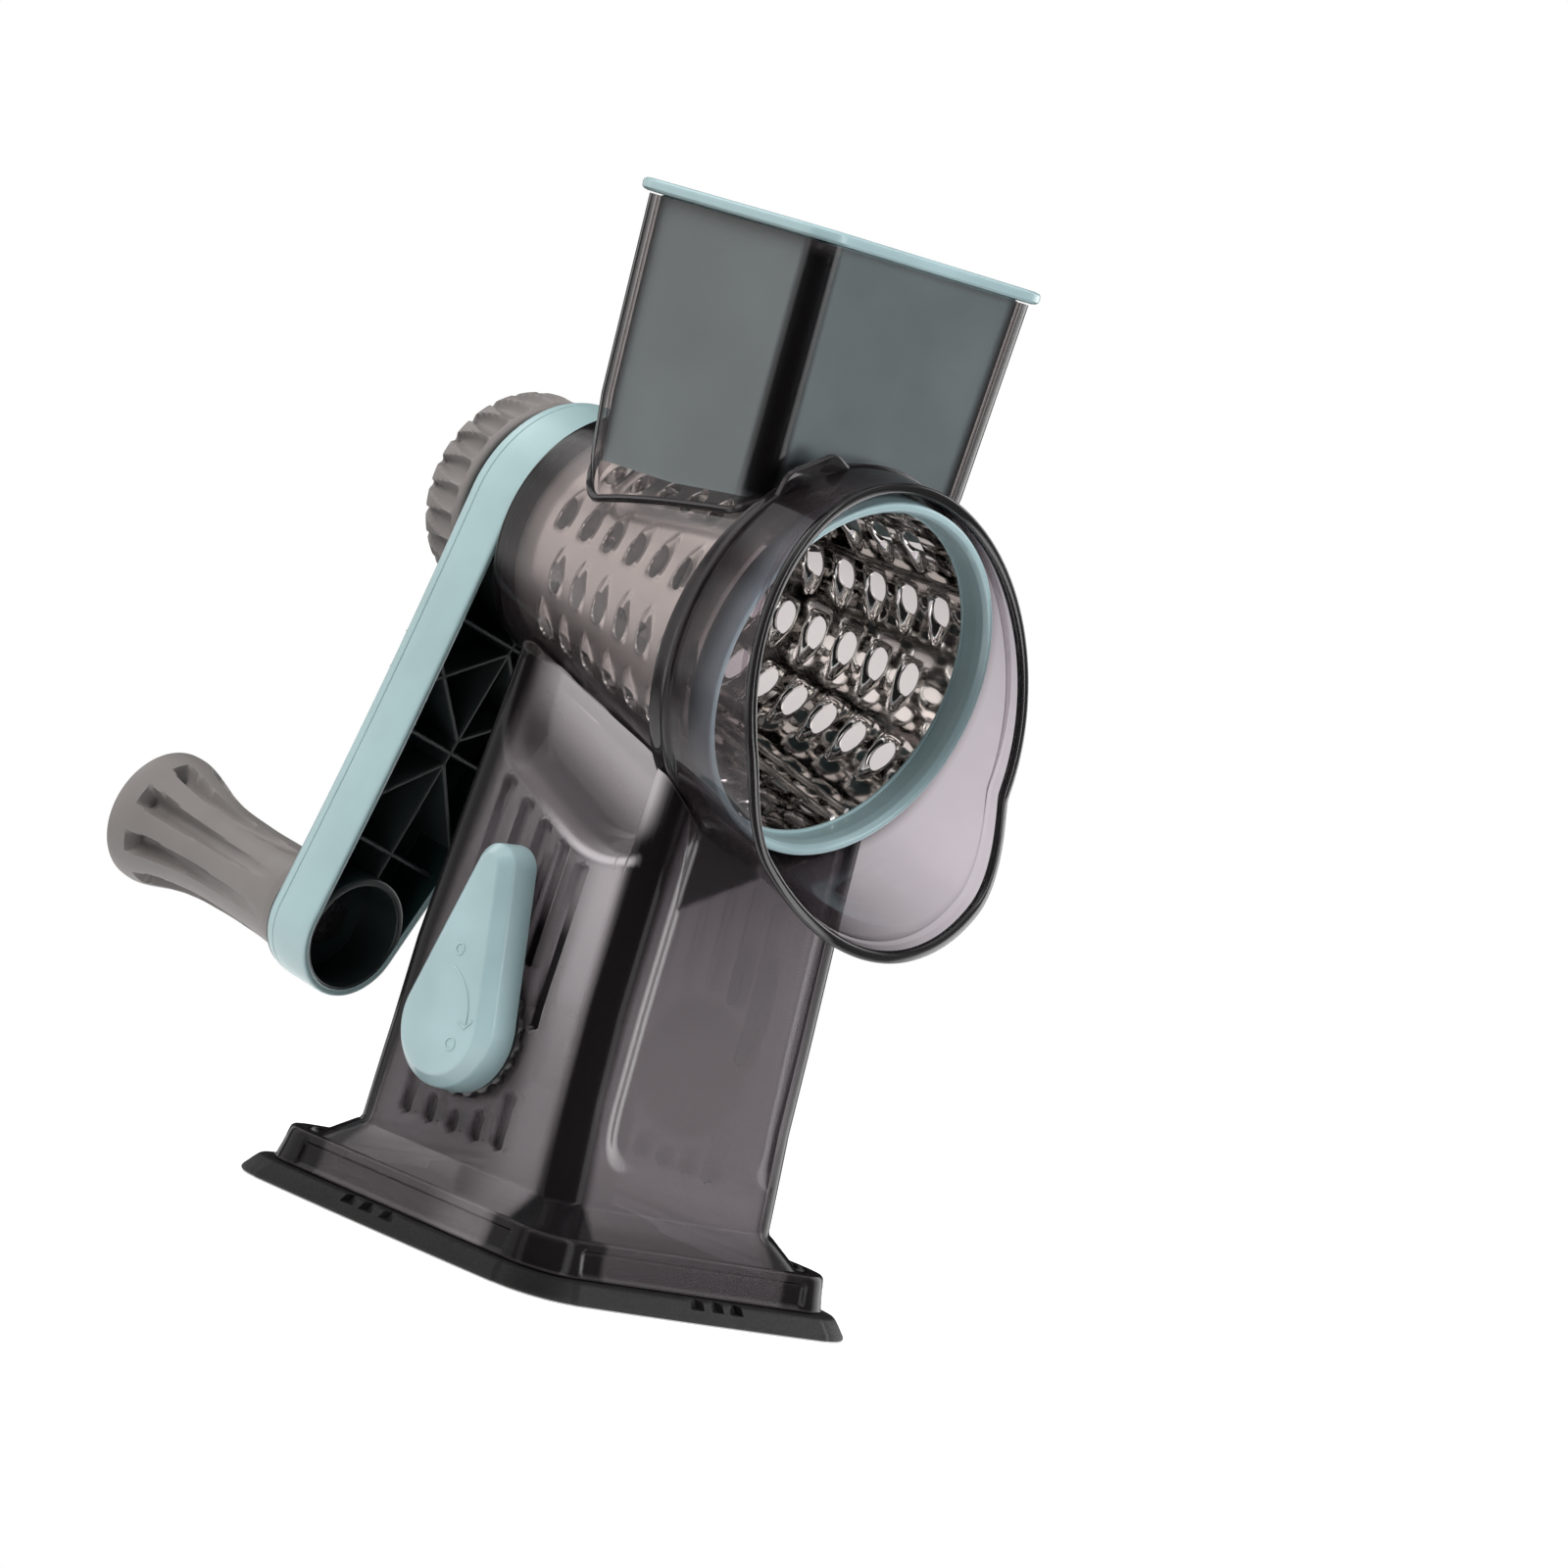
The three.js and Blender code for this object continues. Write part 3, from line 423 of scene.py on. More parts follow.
def steel(name, color, roughness, stretch=(1, 1, 1), streak=0.0, satin=0.0):
    """Bright metal with faint polishing streaks and smudges; satin is extra roughness off the axis side, and
    when it is given, the side facing the axis is painted darker, a painted shade inside the drum.
    """
    n = Material(name)
    mapping = n.add("ShaderNodeMapping", {"Vector": n.place, "Scale": stretch}).outputs[0]
    lines = n.add("ShaderNodeTexNoise", {"Vector": mapping, "Scale": 900.0, "Detail": 2.0}).outputs["Fac"]
    smudge = n.noise(45.0, 3.0, 0.6)
    shade = n.blend(n.remap(smudge, 0.35, 0.7), color, scaled(color, 0.86))
    metallic = 1.0
    rough = n.math("ADD", n.remap(smudge, 0.3, 0.7, roughness * 0.7, roughness * 1.4),
                   n.remap(lines, 0.3, 0.7, -streak, streak), clamp=True)
    if satin:
        outer = outer_side(n)
        rough = n.math("ADD", rough, n.times(outer, satin))
        # Painted shade: the side facing the axis, inside the drum, is darkened to 0.62 of the colour.
        shade = n.blend(outer, scaled(color, 0.62), shade)
        metallic = n.remap(outer, 0.0, 1.0, 1.0, 0.7)
    n.set(Base_Color=shade, Metallic=metallic, Roughness=rough, Normal=n.bump(lines, 0.008, 0.00008))
    return n.material


def outer_side(n):
    """1 where the surface faces away from the head's axis, 0 where it faces the axis."""
    x, y, z = n.split(n.place)
    axis = n.math("ADD", n.times(y, math.tan(HEAD_PITCH)), HEAD_HEIGHT * MM)
    radial = n.add("ShaderNodeCombineXYZ", {0: x, 2: n.math("SUBTRACT", z, axis)}).outputs[0]
    return n.remap(n.dot(n.unit(radial), n.geometry("True Normal")), -0.1, 0.1)


def smoky(name, tint, body, facing_alpha, edge_alpha, gloss=0.08, corner=None, bands=(), stand=False,
          sheen=0.5):
    """Clear smoky plastic. Each face lets through 1 - alpha of the light, less where it is seen edge on.

    corner describes a tapering square column whose upright corners get painted shade: darker and less clear.
    bands lists (from, to, strength, softness) stretches along the head's axis that get painted shade, in mm.
    stand adds the stand's painted shade and painted highlight attributes, and painted shade on its sides and
    skirt.
    """
    n = Material(name)
    swirl = n.noise(18.0, 3.0, 0.55)
    scuff = n.noise(160.0, 5.0, 0.7)
    facing = n.add("ShaderNodeLayerWeight", {"Blend": 0.5}).outputs["Facing"]
    bend = n.math("POWER", facing, 1.8)
    dark = n.times(bend, 0.9)
    alpha = n.remap(bend, 0.0, 1.0, facing_alpha, edge_alpha)
    alpha = n.math("ADD", alpha, n.remap(swirl, 0.3, 0.7, -0.02, 0.02))
    masks = [corner_mask(n, *corner)] if corner else []
    masks += [head_band(n, *band) for band in bands]
    if stand:
        masks += [n.attribute("painted_shade"), painted_side_shade(n)]
    for mask in masks:
        alpha = n.math("MAXIMUM", alpha, mask)
        dark = n.math("MAXIMUM", dark, mask)
    alpha = n.math("MINIMUM", n.math("MAXIMUM", alpha, 0.0), MOST_ALPHA)
    # Thick smoke seen edge on, and the painted shade of the masks, darken the colour towards near black.
    shade = n.blend(dark, body, THICK_SMOKE_AND_SHADE)
    shade = n.blend(n.edge_wear(0.25), shade, WORN_SMOKE)
    rough = n.math("ADD", n.remap(scuff, 0.55, 0.8, 0.0, 0.05), gloss)
    # The stand's painted highlights make it paler and less clear.
    if stand:
        painted_highlight = n.attribute("painted_highlight")
        shade = n.blend(painted_highlight, shade, PAINTED_HIGHLIGHT)
        alpha = n.math("MAXIMUM", alpha, n.times(painted_highlight, 0.9))
    shine = n.remap(dark, 0.0, 1.0, sheen, sheen * 0.2)
    n.set(Base_Color=shade, Roughness=rough, Specular_IOR_Level=shine, Coat_Weight=shine)
    n.set(Coat_Roughness=gloss, Normal=n.bump(scuff, 0.003, 0.0002))
    return n.show(alpha, n.add("ShaderNodeBsdfTransparent", {"Color": tint}), n.principled)


def painted_side_shade(n):
    """Painted shade: the stand's side walls below the scoops, and its skirt, are darker and let less light
    through than its front.
    """
    z = n.split(n.place)[2]
    normal = n.split(n.geometry("Normal"))[0]
    sideways = n.remap(n.math("ABSOLUTE", normal), 0.7, 0.95)
    side = n.times(n.remap(z, 0.095, 0.125, 0.5, 0.08), sideways)
    return n.math("MAXIMUM", side, n.remap(z, 0.017, 0.026, 0.62, 0.0))


def head_band(n, low, high, strength, soft=0.5):
    """Strength between two distances (mm) along the head's axis, with soft ends."""
    _, y, z = n.split(n.place)
    height = n.math("SUBTRACT", z, HEAD_HEIGHT * MM)
    along = n.math("ADD", n.times(y, math.cos(HEAD_PITCH)), n.times(height, math.sin(HEAD_PITCH)))
    rise = n.soft_remap(along, (low - soft) * MM, (low + soft) * MM)
    fall = n.soft_remap(along, (high - soft) * MM, (high + soft) * MM, 1.0, 0.0)
    return n.times(n.times(rise, fall), strength)


def corner_mask(n, half_x, half_y, width, strength, top_half_x, top_half_y, low, high, foot):
    """Painted shade: strength near the upright corners of a tapering square column above its foot, fading out
    over width.
    """
    x, y, z = n.split(n.place)
    far = 0.0
    for side, reach, top_reach in ((x, half_x, top_half_x), (y, half_y, top_half_y)):
        gap = n.math("SUBTRACT", n.remap(z, low, high, reach, top_reach), n.math("ABSOLUTE", side))
        far = n.math("ADD", far, n.math("MAXIMUM", gap, 0.0))
    near = n.soft_remap(far, width * 0.55, width, strength, 0.0)
    return n.times(near, n.remap(z, foot - 0.005, foot + 0.005))


# Near black for thick smoke and painted shade, a worn edge tone, and the pale tone of painted highlights.
THICK_SMOKE_AND_SHADE, WORN_SMOKE, PAINTED_HIGHLIGHT = srgb(7, 6, 7), srgb(110, 104, 106), srgb(205, 200, 203)
MOST_ALPHA = 0.985
TEAL = srgb(128, 150, 153)
teal_plastic = moulded("teal_plastic", TEAL, 0.34, worn=0.5, coat=0.2)
grey_plastic = moulded("grey_plastic", srgb(98, 94, 92), 0.46, grain=0.05, worn=0.5)
inner_plastic = moulded("inner_plastic", srgb(62, 58, 60), 0.45)
# Near black teal for the arm's ribs: painted shadow in the arm's deep hollow.
shadow_green = moulded("shadow_green_plastic", srgb(17, 28, 28), 0.4, worn=0.6)
# Black for the detent's scallops: painted shade round the lever's boss.
shadow_black_plastic = moulded("shadow_black_plastic", srgb(20, 19, 20), 0.3, worn=0.8)
black_rubber = rubber()
chrome_steel = steel("chrome_steel", (0.93, 0.90, 0.875, 1.0), 0.04, (1, 0.02, 1), 0.012, 0.16)
hardware_steel = steel("hardware_steel", (0.55, 0.55, 0.56, 1.0), 0.24, (1, 1, 0.05), 0.06)
# Near black steel for the grip's axle, washer and nut: painted shade inside the grip's tube.
dark_steel = steel("dark_steel", (0.05, 0.05, 0.052, 1.0), 0.3, (1, 1, 0.05), 0.06)
CLEAR_SMOKE = (0.93, 0.89, 0.92, 1.0)
WARM_SMOKE = (0.955, 0.925, 0.92, 1.0)
SMOKE = srgb(52, 47, 49)
# Half width and depth at the foot, width and strength of the corners' painted shade, half width and depth at
# the top, the heights of foot and top, and the height above which corners get painted shade, all in metres
# but the strength.
STAND_CORNERS = (0.0449, 0.0432, 0.0135, 0.97, 0.0394, 0.0370, 0.02, 0.15, -0.01)
HOPPER_CORNERS = (0.0404, 0.0348, 0.0094, 0.96, 0.0445, 0.0364, 0.214, 0.288, 0.214)
# The shield's band darkens the hood's collar: painted shade.
smoky_shield = smoky("smoky_shield_plastic", CLEAR_SMOKE, SMOKE, 0.16, 0.985, 0.05,
                     bands=[(-46.0, -20.0, 0.84, 9.0)])
smoky_lip = smoky("smoky_lip_plastic", CLEAR_SMOKE, srgb(9, 9, 10), 0.9, 0.985, 0.06, sheen=0.3)
smoky_inner = smoky("smoky_inner_plastic", CLEAR_SMOKE, SMOKE, 0.22, 0.7)
smoky_stand = smoky("smoky_stand_plastic", CLEAR_SMOKE, srgb(98, 93, 95), 0.56, 0.98, 0.13, STAND_CORNERS,
                    stand=True, sheen=0.26)
# The hopper's band darkens the barrel's rear, by the crank: painted shade.
smoky_hopper = smoky("smoky_hopper_plastic", WARM_SMOKE, SMOKE, 0.13, 0.97, 0.09, HOPPER_CORNERS,
                     [(53.4, 60.0, 0.93)])


# ---------------------------------------------------------------- square outlines

class Square:
    """Columns round a rounded rectangle, the same at every level: sides +x, rear, -x, front and corners."""

    def __init__(self, side, rear, front, corner=9):
        counts = [("right", side), ("corner", corner), ("rear", rear), ("corner", corner),
                  ("left", side), ("corner", corner), ("front", front), ("corner", corner)]
        self.kind = np.concatenate([[kind] * count for kind, count in counts])
        self.share = np.concatenate([np.arange(count) / count for _, count in counts])
        self.turn = np.concatenate([[k // 2] * count for k, (_, count) in enumerate(counts)])
        self.on_side = np.isin(self.kind, ["left", "right"])[None, :]
        self.flat = (self.kind != "corner")[None, :]

    def outline(self, half_x, front, rear, radius):
        """Points and outward normals for one level."""
        n = len(self.kind)
        points, normals = np.zeros((n, 2)), np.zeros((n, 2))
        sides = {
            "right": ((half_x, -front + radius), (half_x, rear - radius), (1, 0)),
            "rear": ((half_x - radius, rear), (radius - half_x, rear), (0, 1)),
            "left": ((-half_x, rear - radius), (-half_x, -front + radius), (-1, 0)),
            "front": ((radius - half_x, -front), (half_x - radius, -front), (0, -1)),
        }
        for kind, (start, end, normal) in sides.items():
            mask = self.kind == kind
            share = self.share[mask][:, None]
            points[mask] = (1 - share) * np.array(start) + share * np.array(end)
            normals[mask] = normal
        middles = [(half_x - radius, rear - radius), (radius - half_x, rear - radius),
                   (radius - half_x, radius - front), (half_x - radius, radius - front)]
        mask = self.kind == "corner"
        angle = (self.turn[mask] + self.share[mask]) * math.pi / 2
        normals[mask] = polar(1.0, angle)
        points[mask] = np.array(middles)[self.turn[mask]] + radius * normals[mask]
        return points, normals

    def rings(self, levels, inset=0.0):
        """Points (rows, columns, 3) and normals for levels of (z, half x, front, rear, radius)."""
        points, normals = [], []
        for z, half_x, front, rear, radius in levels:
            flat, normal = self.outline(half_x - inset, front - inset, rear - inset,
                                        max(radius - inset, LEAST_RADIUS))
            points.append(np.column_stack([flat, np.full(len(flat), z)]))
            normals.append(np.column_stack([normal, np.zeros(len(flat))]))
        return np.array(points), np.array(normals)


def even(levels):
    """Levels of (z, half x, front, rear, radius) from (z, half x, half y, radius)."""
    return [(z, half_x, half_y, half_y, radius) for z, half_x, half_y, radius in levels]


def column_at(levels, z):
    """The square column's half x, front, rear and corner radius at each height z."""
    table = np.array(levels)
    return [np.interp(z, table[:, 0], table[:, k]) for k in range(1, 5)]


# How far beyond the axis a height is put where the body is missed.
FAR_AWAY = 400.0


def envelope_height(x, y, radius_at, above=False, rounds=10):
    """Height z of the underside (or the top) of a body of revolution about the head's axis."""
    cos, sin = math.cos(HEAD_PITCH), math.sin(HEAD_PITCH)
    sign = 1 if above else -1
    z = np.full(np.shape(x), HEAD_HEIGHT + sign * 42.0)
    for _ in range(rounds):
        along = y * cos + (z - HEAD_HEIGHT) * sin
        radius = radius_at(along)
        inside = np.maximum(radius ** 2 - x ** 2, 0.0)
        guess = HEAD_HEIGHT + (sign * np.sqrt(inside) + y * sin) / cos
        z = 0.5 * z + 0.5 * guess
    return np.where(np.abs(x) < radius, z, HEAD_HEIGHT - FAR_AWAY * sign)


# ---------------------------------------------------------------- stand

STAND_FOOT, STAND_TOP_GUESS = 22.6, 150.0
STAND_LEVELS = [
    (STAND_FOOT, 44.9, 43.2, 43.2, 9.5),
    (50.0, 44.5, 39.9, 42.4, 9.0),
    (75.0, 44.2, 38.4, 42.2, 8.6),
    (112.0, 42.2, 37.1, 41.0, 8.0),
    (170.0, 39.4, 36.4, 38.6, 8.0),
]
SKIRT_PANEL = 7.0, 13.2
# Outlines on the stand: the front's in (x, z), the sides' scoop in (y, z), the hood's stiffener in (x, z).
PANEL = fillet([(-31, 33), (38, 33), (33, 190), (-25, 190)], [12, 12, 1, 1], 8)
SCOOP = fillet([(33, 215), (29, 131), (-15, 112.0), (-36, 117), (-37, 215)], [1, 12, 12, 10, 1], 10)
GUSSET = np.array([(-32.0, 132.0), (-25.5, 104.5), (4.0, 118.0), (0.0, 132.0)])
FLUTES = [23.2 - 9.3 * k for k in range(5)]
FLUTE_HALF, FLUTE_DEPTH, FLUTE_CLEAR = 2.9, 2.2, 22.0
FLUTE_LOWEST, LAST_FLUTE_GAP = 28.0, (46.0, 62.0)
LIP_SLOPE, LIP_FRONT, LIP_MIDDLE = 0.43, 126.5, 112.0


def saddle_radius(along):
    barrel = np.interp(along, [-30.5, BARREL_BACK], [barrel_radius(-30.5), BARREL_BACK_RADIUS])
    hood = np.interp(along, [-62, -45, -31.5], [SHIELD_RADIUS + 3.2, SHIELD_RADIUS + 1.2, SHIELD_RADIUS])
    seat = barrel + (SHIELD_RADIUS - barrel) * smooth(-along, 29.5, 31.5)
    return np.where(along < -31.5, hood, np.where(along < -29.5, seat, barrel)) + 0.5


def stand_top(x, y, drop=0.0):
    plane = 149.2 + 0.3 * y - drop
    return np.minimum(plane, envelope_height(x, y, lambda a: saddle_radius(a) + drop))


def flute_depth(side, z):
    """Upright flutes on the side faces, cut off by a disc round the lever and below the scoop's lip."""
    depth = np.zeros(np.shape(z))
    for k, middle in enumerate(FLUTES):
        across = np.abs(side - middle)
        disc = math.sqrt(max(FLUTE_CLEAR ** 2 - (middle - LEVER_Y) ** 2, 0.0))
        lip = LIP_FRONT + LIP_SLOPE * (middle - FLUTES[0])
        gap = (LEVER_HEIGHT - disc, LEVER_HEIGHT + disc) if k < len(FLUTES) - 1 else LAST_FLUTE_GAP
        for low, high in ((gap[1], lip), (FLUTE_LOWEST, gap[0])):
            over = np.maximum(np.maximum(z - high + FLUTE_HALF, low + FLUTE_HALF - z), 0.0)
            reach = np.maximum(across, across * 0.55 + over)
            depth = np.maximum(depth, FLUTE_DEPTH * smooth(FLUTE_HALF - reach, 0.0, 1.0))
    return depth


def stand_depth(ring, x, y, z):
    """How far the stand's skin is pushed in at each point of its rings."""
    sides = np.broadcast_to(ring.on_side, x.shape)
    inside = depth_inside(y, z, SCOOP)
    full = column_at(STAND_LEVELS, z)[0] - 34.2
    lip = smooth(inside, -0.8, 8.5)
    bead = 0.45 * smooth(inside, -3.4, -1.4) * (1 - smooth(inside, -1.0, 0.6))
    depth = np.where(sides, full * lip - bead, 0.0)
    taper = np.interp(z, [STAND_FOOT, 170], [1.0, 0.93])
    flutes = flute_depth(y / taper, z) * (1 - smooth(inside, -6.0, -2.0))
    depth = np.where(sides & (flutes > 0), np.maximum(depth, flutes), depth)
    fronts = np.broadcast_to((ring.kind == "front")[None, :], x.shape)
    panel = 2.3 * smooth(depth_inside(x, z, PANEL), -2.5, 5.5)
    gusset = 0.45 * smooth(depth_inside(x, z, GUSSET), -0.5, 0.5)
    return np.where(fronts, panel + gusset, depth)


def skirt_depth(ring, points):
    """The long shallow panels in the skirt's upright band."""
    x, y, z = points[..., 0], points[..., 1], points[..., 2]
    along = np.where(ring.on_side, y, x)
    reach = np.where(ring.on_side, 42.0, 44.5)
    inside = np.minimum(reach - np.abs(along), np.minimum(z - SKIRT_PANEL[0], SKIRT_PANEL[1] - z))
    return np.where(ring.flat, 0.7 * smooth(inside, -0.4, 0.6), 0.0)


def stand_skin(ring, inset, skirt):
    """Rings of one skin of the stand from its foot to the middle of its top."""
    low, low_normals = ring.rings(skirt)
    if inset == 0.0:
        low = low - low_normals * skirt_depth(ring, low)[..., None]
    share = np.linspace(0, 1, 210)[1:, None]
    top = np.full(len(ring.kind), STAND_TOP_GUESS)
    for _ in range(6):
        height = STAND_FOOT + share * (top - inset * 0.2 - STAND_FOOT)
        points, normals = column_points(ring, height, inset)
        x, y = points[..., 0], points[..., 1]
        depth = stand_depth(ring, x + normals[..., 0] * inset, y + normals[..., 1] * inset, height)
        points = points - normals * depth[..., None]
        top = stand_top(points[-1, :, 0], points[-1, :, 1], inset)
    caps = []
    for step in np.linspace(0, 1, 30)[1:-1]:
        x = points[-1, :, 0] * (1 - step)
        y = points[-1, :, 1] * (1 - step) + 1.0 * step
        caps.append(np.column_stack([x, y, stand_top(x, y, inset)]))
    return np.concatenate([low, points, np.array(caps)])


def column_points(ring, height, inset):
    """Points and normals of the square column, with its own height for every column of points."""
    table = np.array(STAND_LEVELS)
    outlines = np.array([ring.outline(h - inset, f - inset, r - inset, max(c - inset, LEAST_RADIUS))[0]
                         for h, f, r, c in table[:, 1:]])
    columns = np.arange(height.shape[1])
    rows = []
    for z in height:
        index = np.clip(np.searchsorted(table[:, 0], z) - 1, 0, len(table) - 2)
        t = ((z - table[index, 0]) / (table[index + 1, 0] - table[index, 0]))[:, None]
        flat = outlines[index, columns] * (1 - t) + outlines[index + 1, columns] * t
        rows.append(np.column_stack([flat, z]))
    normal = ring.outline(*STAND_LEVELS[2][1:])[1]
    normal = np.column_stack([normal, np.zeros(len(normal))])
    return np.array(rows), np.broadcast_to(normal, (len(rows), *normal.shape))


def build_stand():
    ring = Square(side=150, rear=44, front=100)
    outer = stand_skin(ring, 0.0, even([
        (5.9, 59.8, 57.8, 12), (6.3, 59.9, 57.9, 12), (6.9, 59.7, 57.7, 12), (7.4, 59.6, 57.6, 12),
        (8.2, 59.5, 57.5, 12), (10, 59.1, 57.1, 11.8), (12, 58.8, 56.8, 11.7), (12.8, 58.7, 56.7, 11.6),
        (13.4, 58.6, 56.6, 11.6), (14.4, 58.4, 56.4, 11.5), (15.1, 58.2, 56.2, 11.4),
        (15.55, 57.8, 55.8, 11.2), (15.7, 57.2, 55.2, 11), (15.7, 55.6, 53.6, 10.7),
        (15.6, 54.9, 52.9, 10.5), (15.2, 54.5, 52.5, 10.5), (14.7, 54.3, 52.3, 10.5),
        (14.4, 53.9, 51.9, 10.4), (14.5, 53.2, 51.2, 10.4), (16.2, 51.4, 49.7, 10.2),
        (18.2, 49.3, 47.9, 10), (20.2, 47.2, 46.0, 9.8), (21.8, 45.6, 44.4, 9.6),
        (22.3, 45.1, 43.6, 9.5),
    ]))
    inner = stand_skin(ring, STAND_WALL, even([
        (5.9, 57.5, 55.5, 10), (12.2, 56.2, 54.2, 9), (12.6, 55.4, 53.4, 9), (12.7, 51.5, 49.5, 8.5),
        (15.0, 48.6, 47.0, 8), (18.0, 45.4, 44.0, 7.5), (21.0, 42.6, 41.2, 7),
    ]))
    parts = [loft(np.concatenate([outer[::-1], inner])), gusset_plate()]
    paint_stand_shade_and_highlights(make("stand_shell", parts, smoky_stand, "base", ["stand"]))


def paint_stand_shade_and_highlights(piece):
    """Writes painted shade, strongest deep in the flutes, round the lever's seat, in the scoop's lower hollow
    and on the stiffener behind the hood; and painted highlights.
    """
    mesh = piece.data
    places = np.zeros(len(mesh.vertices) * 3)
    mesh.vertices.foreach_get("co", places)
    x, y, z = places.reshape(-1, 3).T / MM
    on_side = np.abs(x) > 30.0
    inside = depth_inside(y, z, SCOOP)
    above_lip = z - (LIP_MIDDLE + LIP_SLOPE * (y + 15.0))
    deep = smooth(flute_depth(y, z) / FLUTE_DEPTH, 0.1, 0.75)
    shaded = 0.25 + 0.73 * smooth(-y, -12, 2) * smooth(z, 44, 50) * (1 - smooth(z, 88, 106))
    low = (0.95 - 0.3 * smooth(z, 29, 40)) * (1 - smooth(z, 42, 47))
    seat = 0.8 * (1 - smooth(np.hypot(y - LEVER_Y, z - LEVER_HEIGHT), 18.5, 23.5))
    flutes = np.where(np.abs(x) > 37.0, np.maximum(deep * np.maximum(shaded, low), seat), 0.0)
    hollow = 0.55 * smooth(inside, 0.5, 4.0) * (1 - smooth(above_lip, 5.0, 20.0))
    hollow = np.where(on_side, hollow * (np.abs(y) < 36.0), 0.0)
    behind_hood = 0.85 * smooth(depth_inside(x, z, GUSSET), -0.3, 0.3) * (y < -28.0)
    painted_shade = np.maximum(np.maximum(flutes, hollow), behind_hood)
    # Painted shade for the stand's material: darker and less clear where it is high.
    write_attribute(mesh, "painted_shade", "POINT", painted_shade)
    # Painted highlights: pale patches on the side, the scoop and the flutes' rims.
    painted_highlight = np.where(on_side & (np.abs(y) < 35.0), side_painted_highlight(y, z, inside, above_lip, deep), 0.0)
    write_attribute(mesh, "painted_highlight", "POINT", painted_highlight * (1 - painted_shade ** 2))


def side_painted_highlight(y, z, inside, above_lip, deep):
    """Painted highlights on the stand's side: its front half, the scoop's bowl and lip, and the flutes' rims.
    """
    corner_gap = np.interp(z, [20, 150], [43.2, 37.0]) - np.abs(y)
    flank = smooth(-y, 6, 24) * (0.14 + 0.34 * smooth(z, 40, 108)) * (1 - smooth(inside, -2.5, 0.0))
    flank = flank * smooth(corner_gap, 8.0, 13.0)
    bowl = 0.62 * smooth(inside, 1.5, 7.0) * smooth(above_lip, 10.0, 30.0)
    lip = 0.75 * smooth(inside, -3.0, -1.6) * (1 - smooth(inside, -0.6, 0.6)) * smooth(-y, -14, 12)
    lip = lip * smooth(corner_gap, 5.5, 11.0)
    rim = 0.4 * smooth(deep, 0.03, 0.2) * (1 - smooth(deep, 0.45, 0.8)) * smooth(-y, -30, 0)
    rim = rim * smooth(z, 52, 66)
    return np.maximum(np.maximum(flank, bowl), np.maximum(lip, rim))


def gusset_plate():
    """A triangular stiffener behind the front wall, under the hood."""
    outline = fillet(GUSSET, 0.8, 3)
    inward = (GUSSET.mean(0) - outline) * 0.05
    return loft(stack("y", [(-32.9, outline + inward * 0.2), (-32.6, outline), (-31.3, outline)]))


# ---------------------------------------------------------------- housing and hood

HOPPER_TOP = 287.5
HOPPER_LEVELS = [
    (196.0, 36.5, 33.4, 33.0, 12.0),
    (214.0, 40.4, 34.8, 34.4, 9.0),
    (232.0, 41.8, 35.5, 35.2, 7.5),
    (HOPPER_TOP, 44.5, 36.4, 36.3, 7.5),
]
BEAD_RADIUS, BACK_HOLE = 1.15, 19.65


def hopper_levels(low, high, count):
    return [(z, *column_at(HOPPER_LEVELS, z)) for z in np.linspace(low, high, count)]


def tilted(part):
    """A part moved from head coordinates into the frame's."""
    verts, faces = part
    to_frame = np.array(HEAD)
    return verts @ to_frame[:3, :3].T + to_frame[:3, 3], faces


def build_housing():
    profile = [(barrel_radius(a), a) for a in np.linspace(BARREL_FRONT, BARREL_BACK, 50)[:-1]]
    profile += [(BARREL_BACK_RADIUS + 0.1, BARREL_BACK - 1.0),
                (BARREL_BACK_RADIUS - 0.35, BARREL_BACK - 0.25), (BARREL_BACK_RADIUS - 1.1, BARREL_BACK)]
    inner = [(barrel_radius(a) - WALL, a) for a in np.linspace(BARREL_FRONT - 5, BARREL_BACK - 2, 50)]
    ring = Square(side=24, rear=24, front=24)
    levels = hopper_levels(197, HOPPER_TOP, 40)
    throat = loft(ring.rings(levels + [(295, 44.6, 36.5, 36.4, 7.5)], WALL)[0])
    mesh = carve(tilted(spindle(profile)), [
        ("UNION", loft(ring.rings(levels)[0])),
        ("DIFFERENCE", tilted(spindle(inner))),
        ("DIFFERENCE", throat),
        ("DIFFERENCE", tilted(spindle([(BACK_HOLE, 50), (BACK_HOLE, 65)]))),
    ])
    finish_mesh("housing_shell", mesh, smoky_hopper, "base", ["housing"], 30)
    make("housing_bead", [junction_bead(ring)], smoky_lip, "base")


def junction_bead(ring):
    """The moulded bead where the hopper meets the barrel."""
    half_x, front, rear = 38.7, 34.2, 33.8
    flat, normal = ring.outline(half_x, front, rear, 10.0)
    low = np.minimum(envelope_height(flat[:, 0], flat[:, 1], barrel_radius, above=True), 232.0)
    path = []
    for (x, y), height in zip(flat, low):
        there_x, there_front, there_rear, _ = column_at(HOPPER_LEVELS, height)
        stretch = there_front / front if y < 0 else there_rear / rear
        path.append((x * (there_x / half_x), y * stretch, height))
    path = np.array(path)
    forward = np.roll(path, -1, 0) - np.roll(path, 1, 0)
    forward /= np.linalg.norm(forward, axis=1)[:, None]
    out = np.column_stack([normal, np.zeros(len(normal))])
    up = np.cross(out, forward)
    return closed_loop([path + BEAD_RADIUS * (math.cos(a) * out + math.sin(a) * up) for a in angles(10)])


def shield_reach(angle):
    height = -SHIELD_RADIUS * np.cos(angle)
    return -np.where(height > -18, 66.8 - 0.325 * height, 72.65 - 0.59 * (height + 18))


def shield_rise(angle, share):
    degrees = np.degrees(np.minimum(angle, TURN - angle))
    return 8.6 * (1 - smooth(degrees, 42, 74)) * share ** 1.6


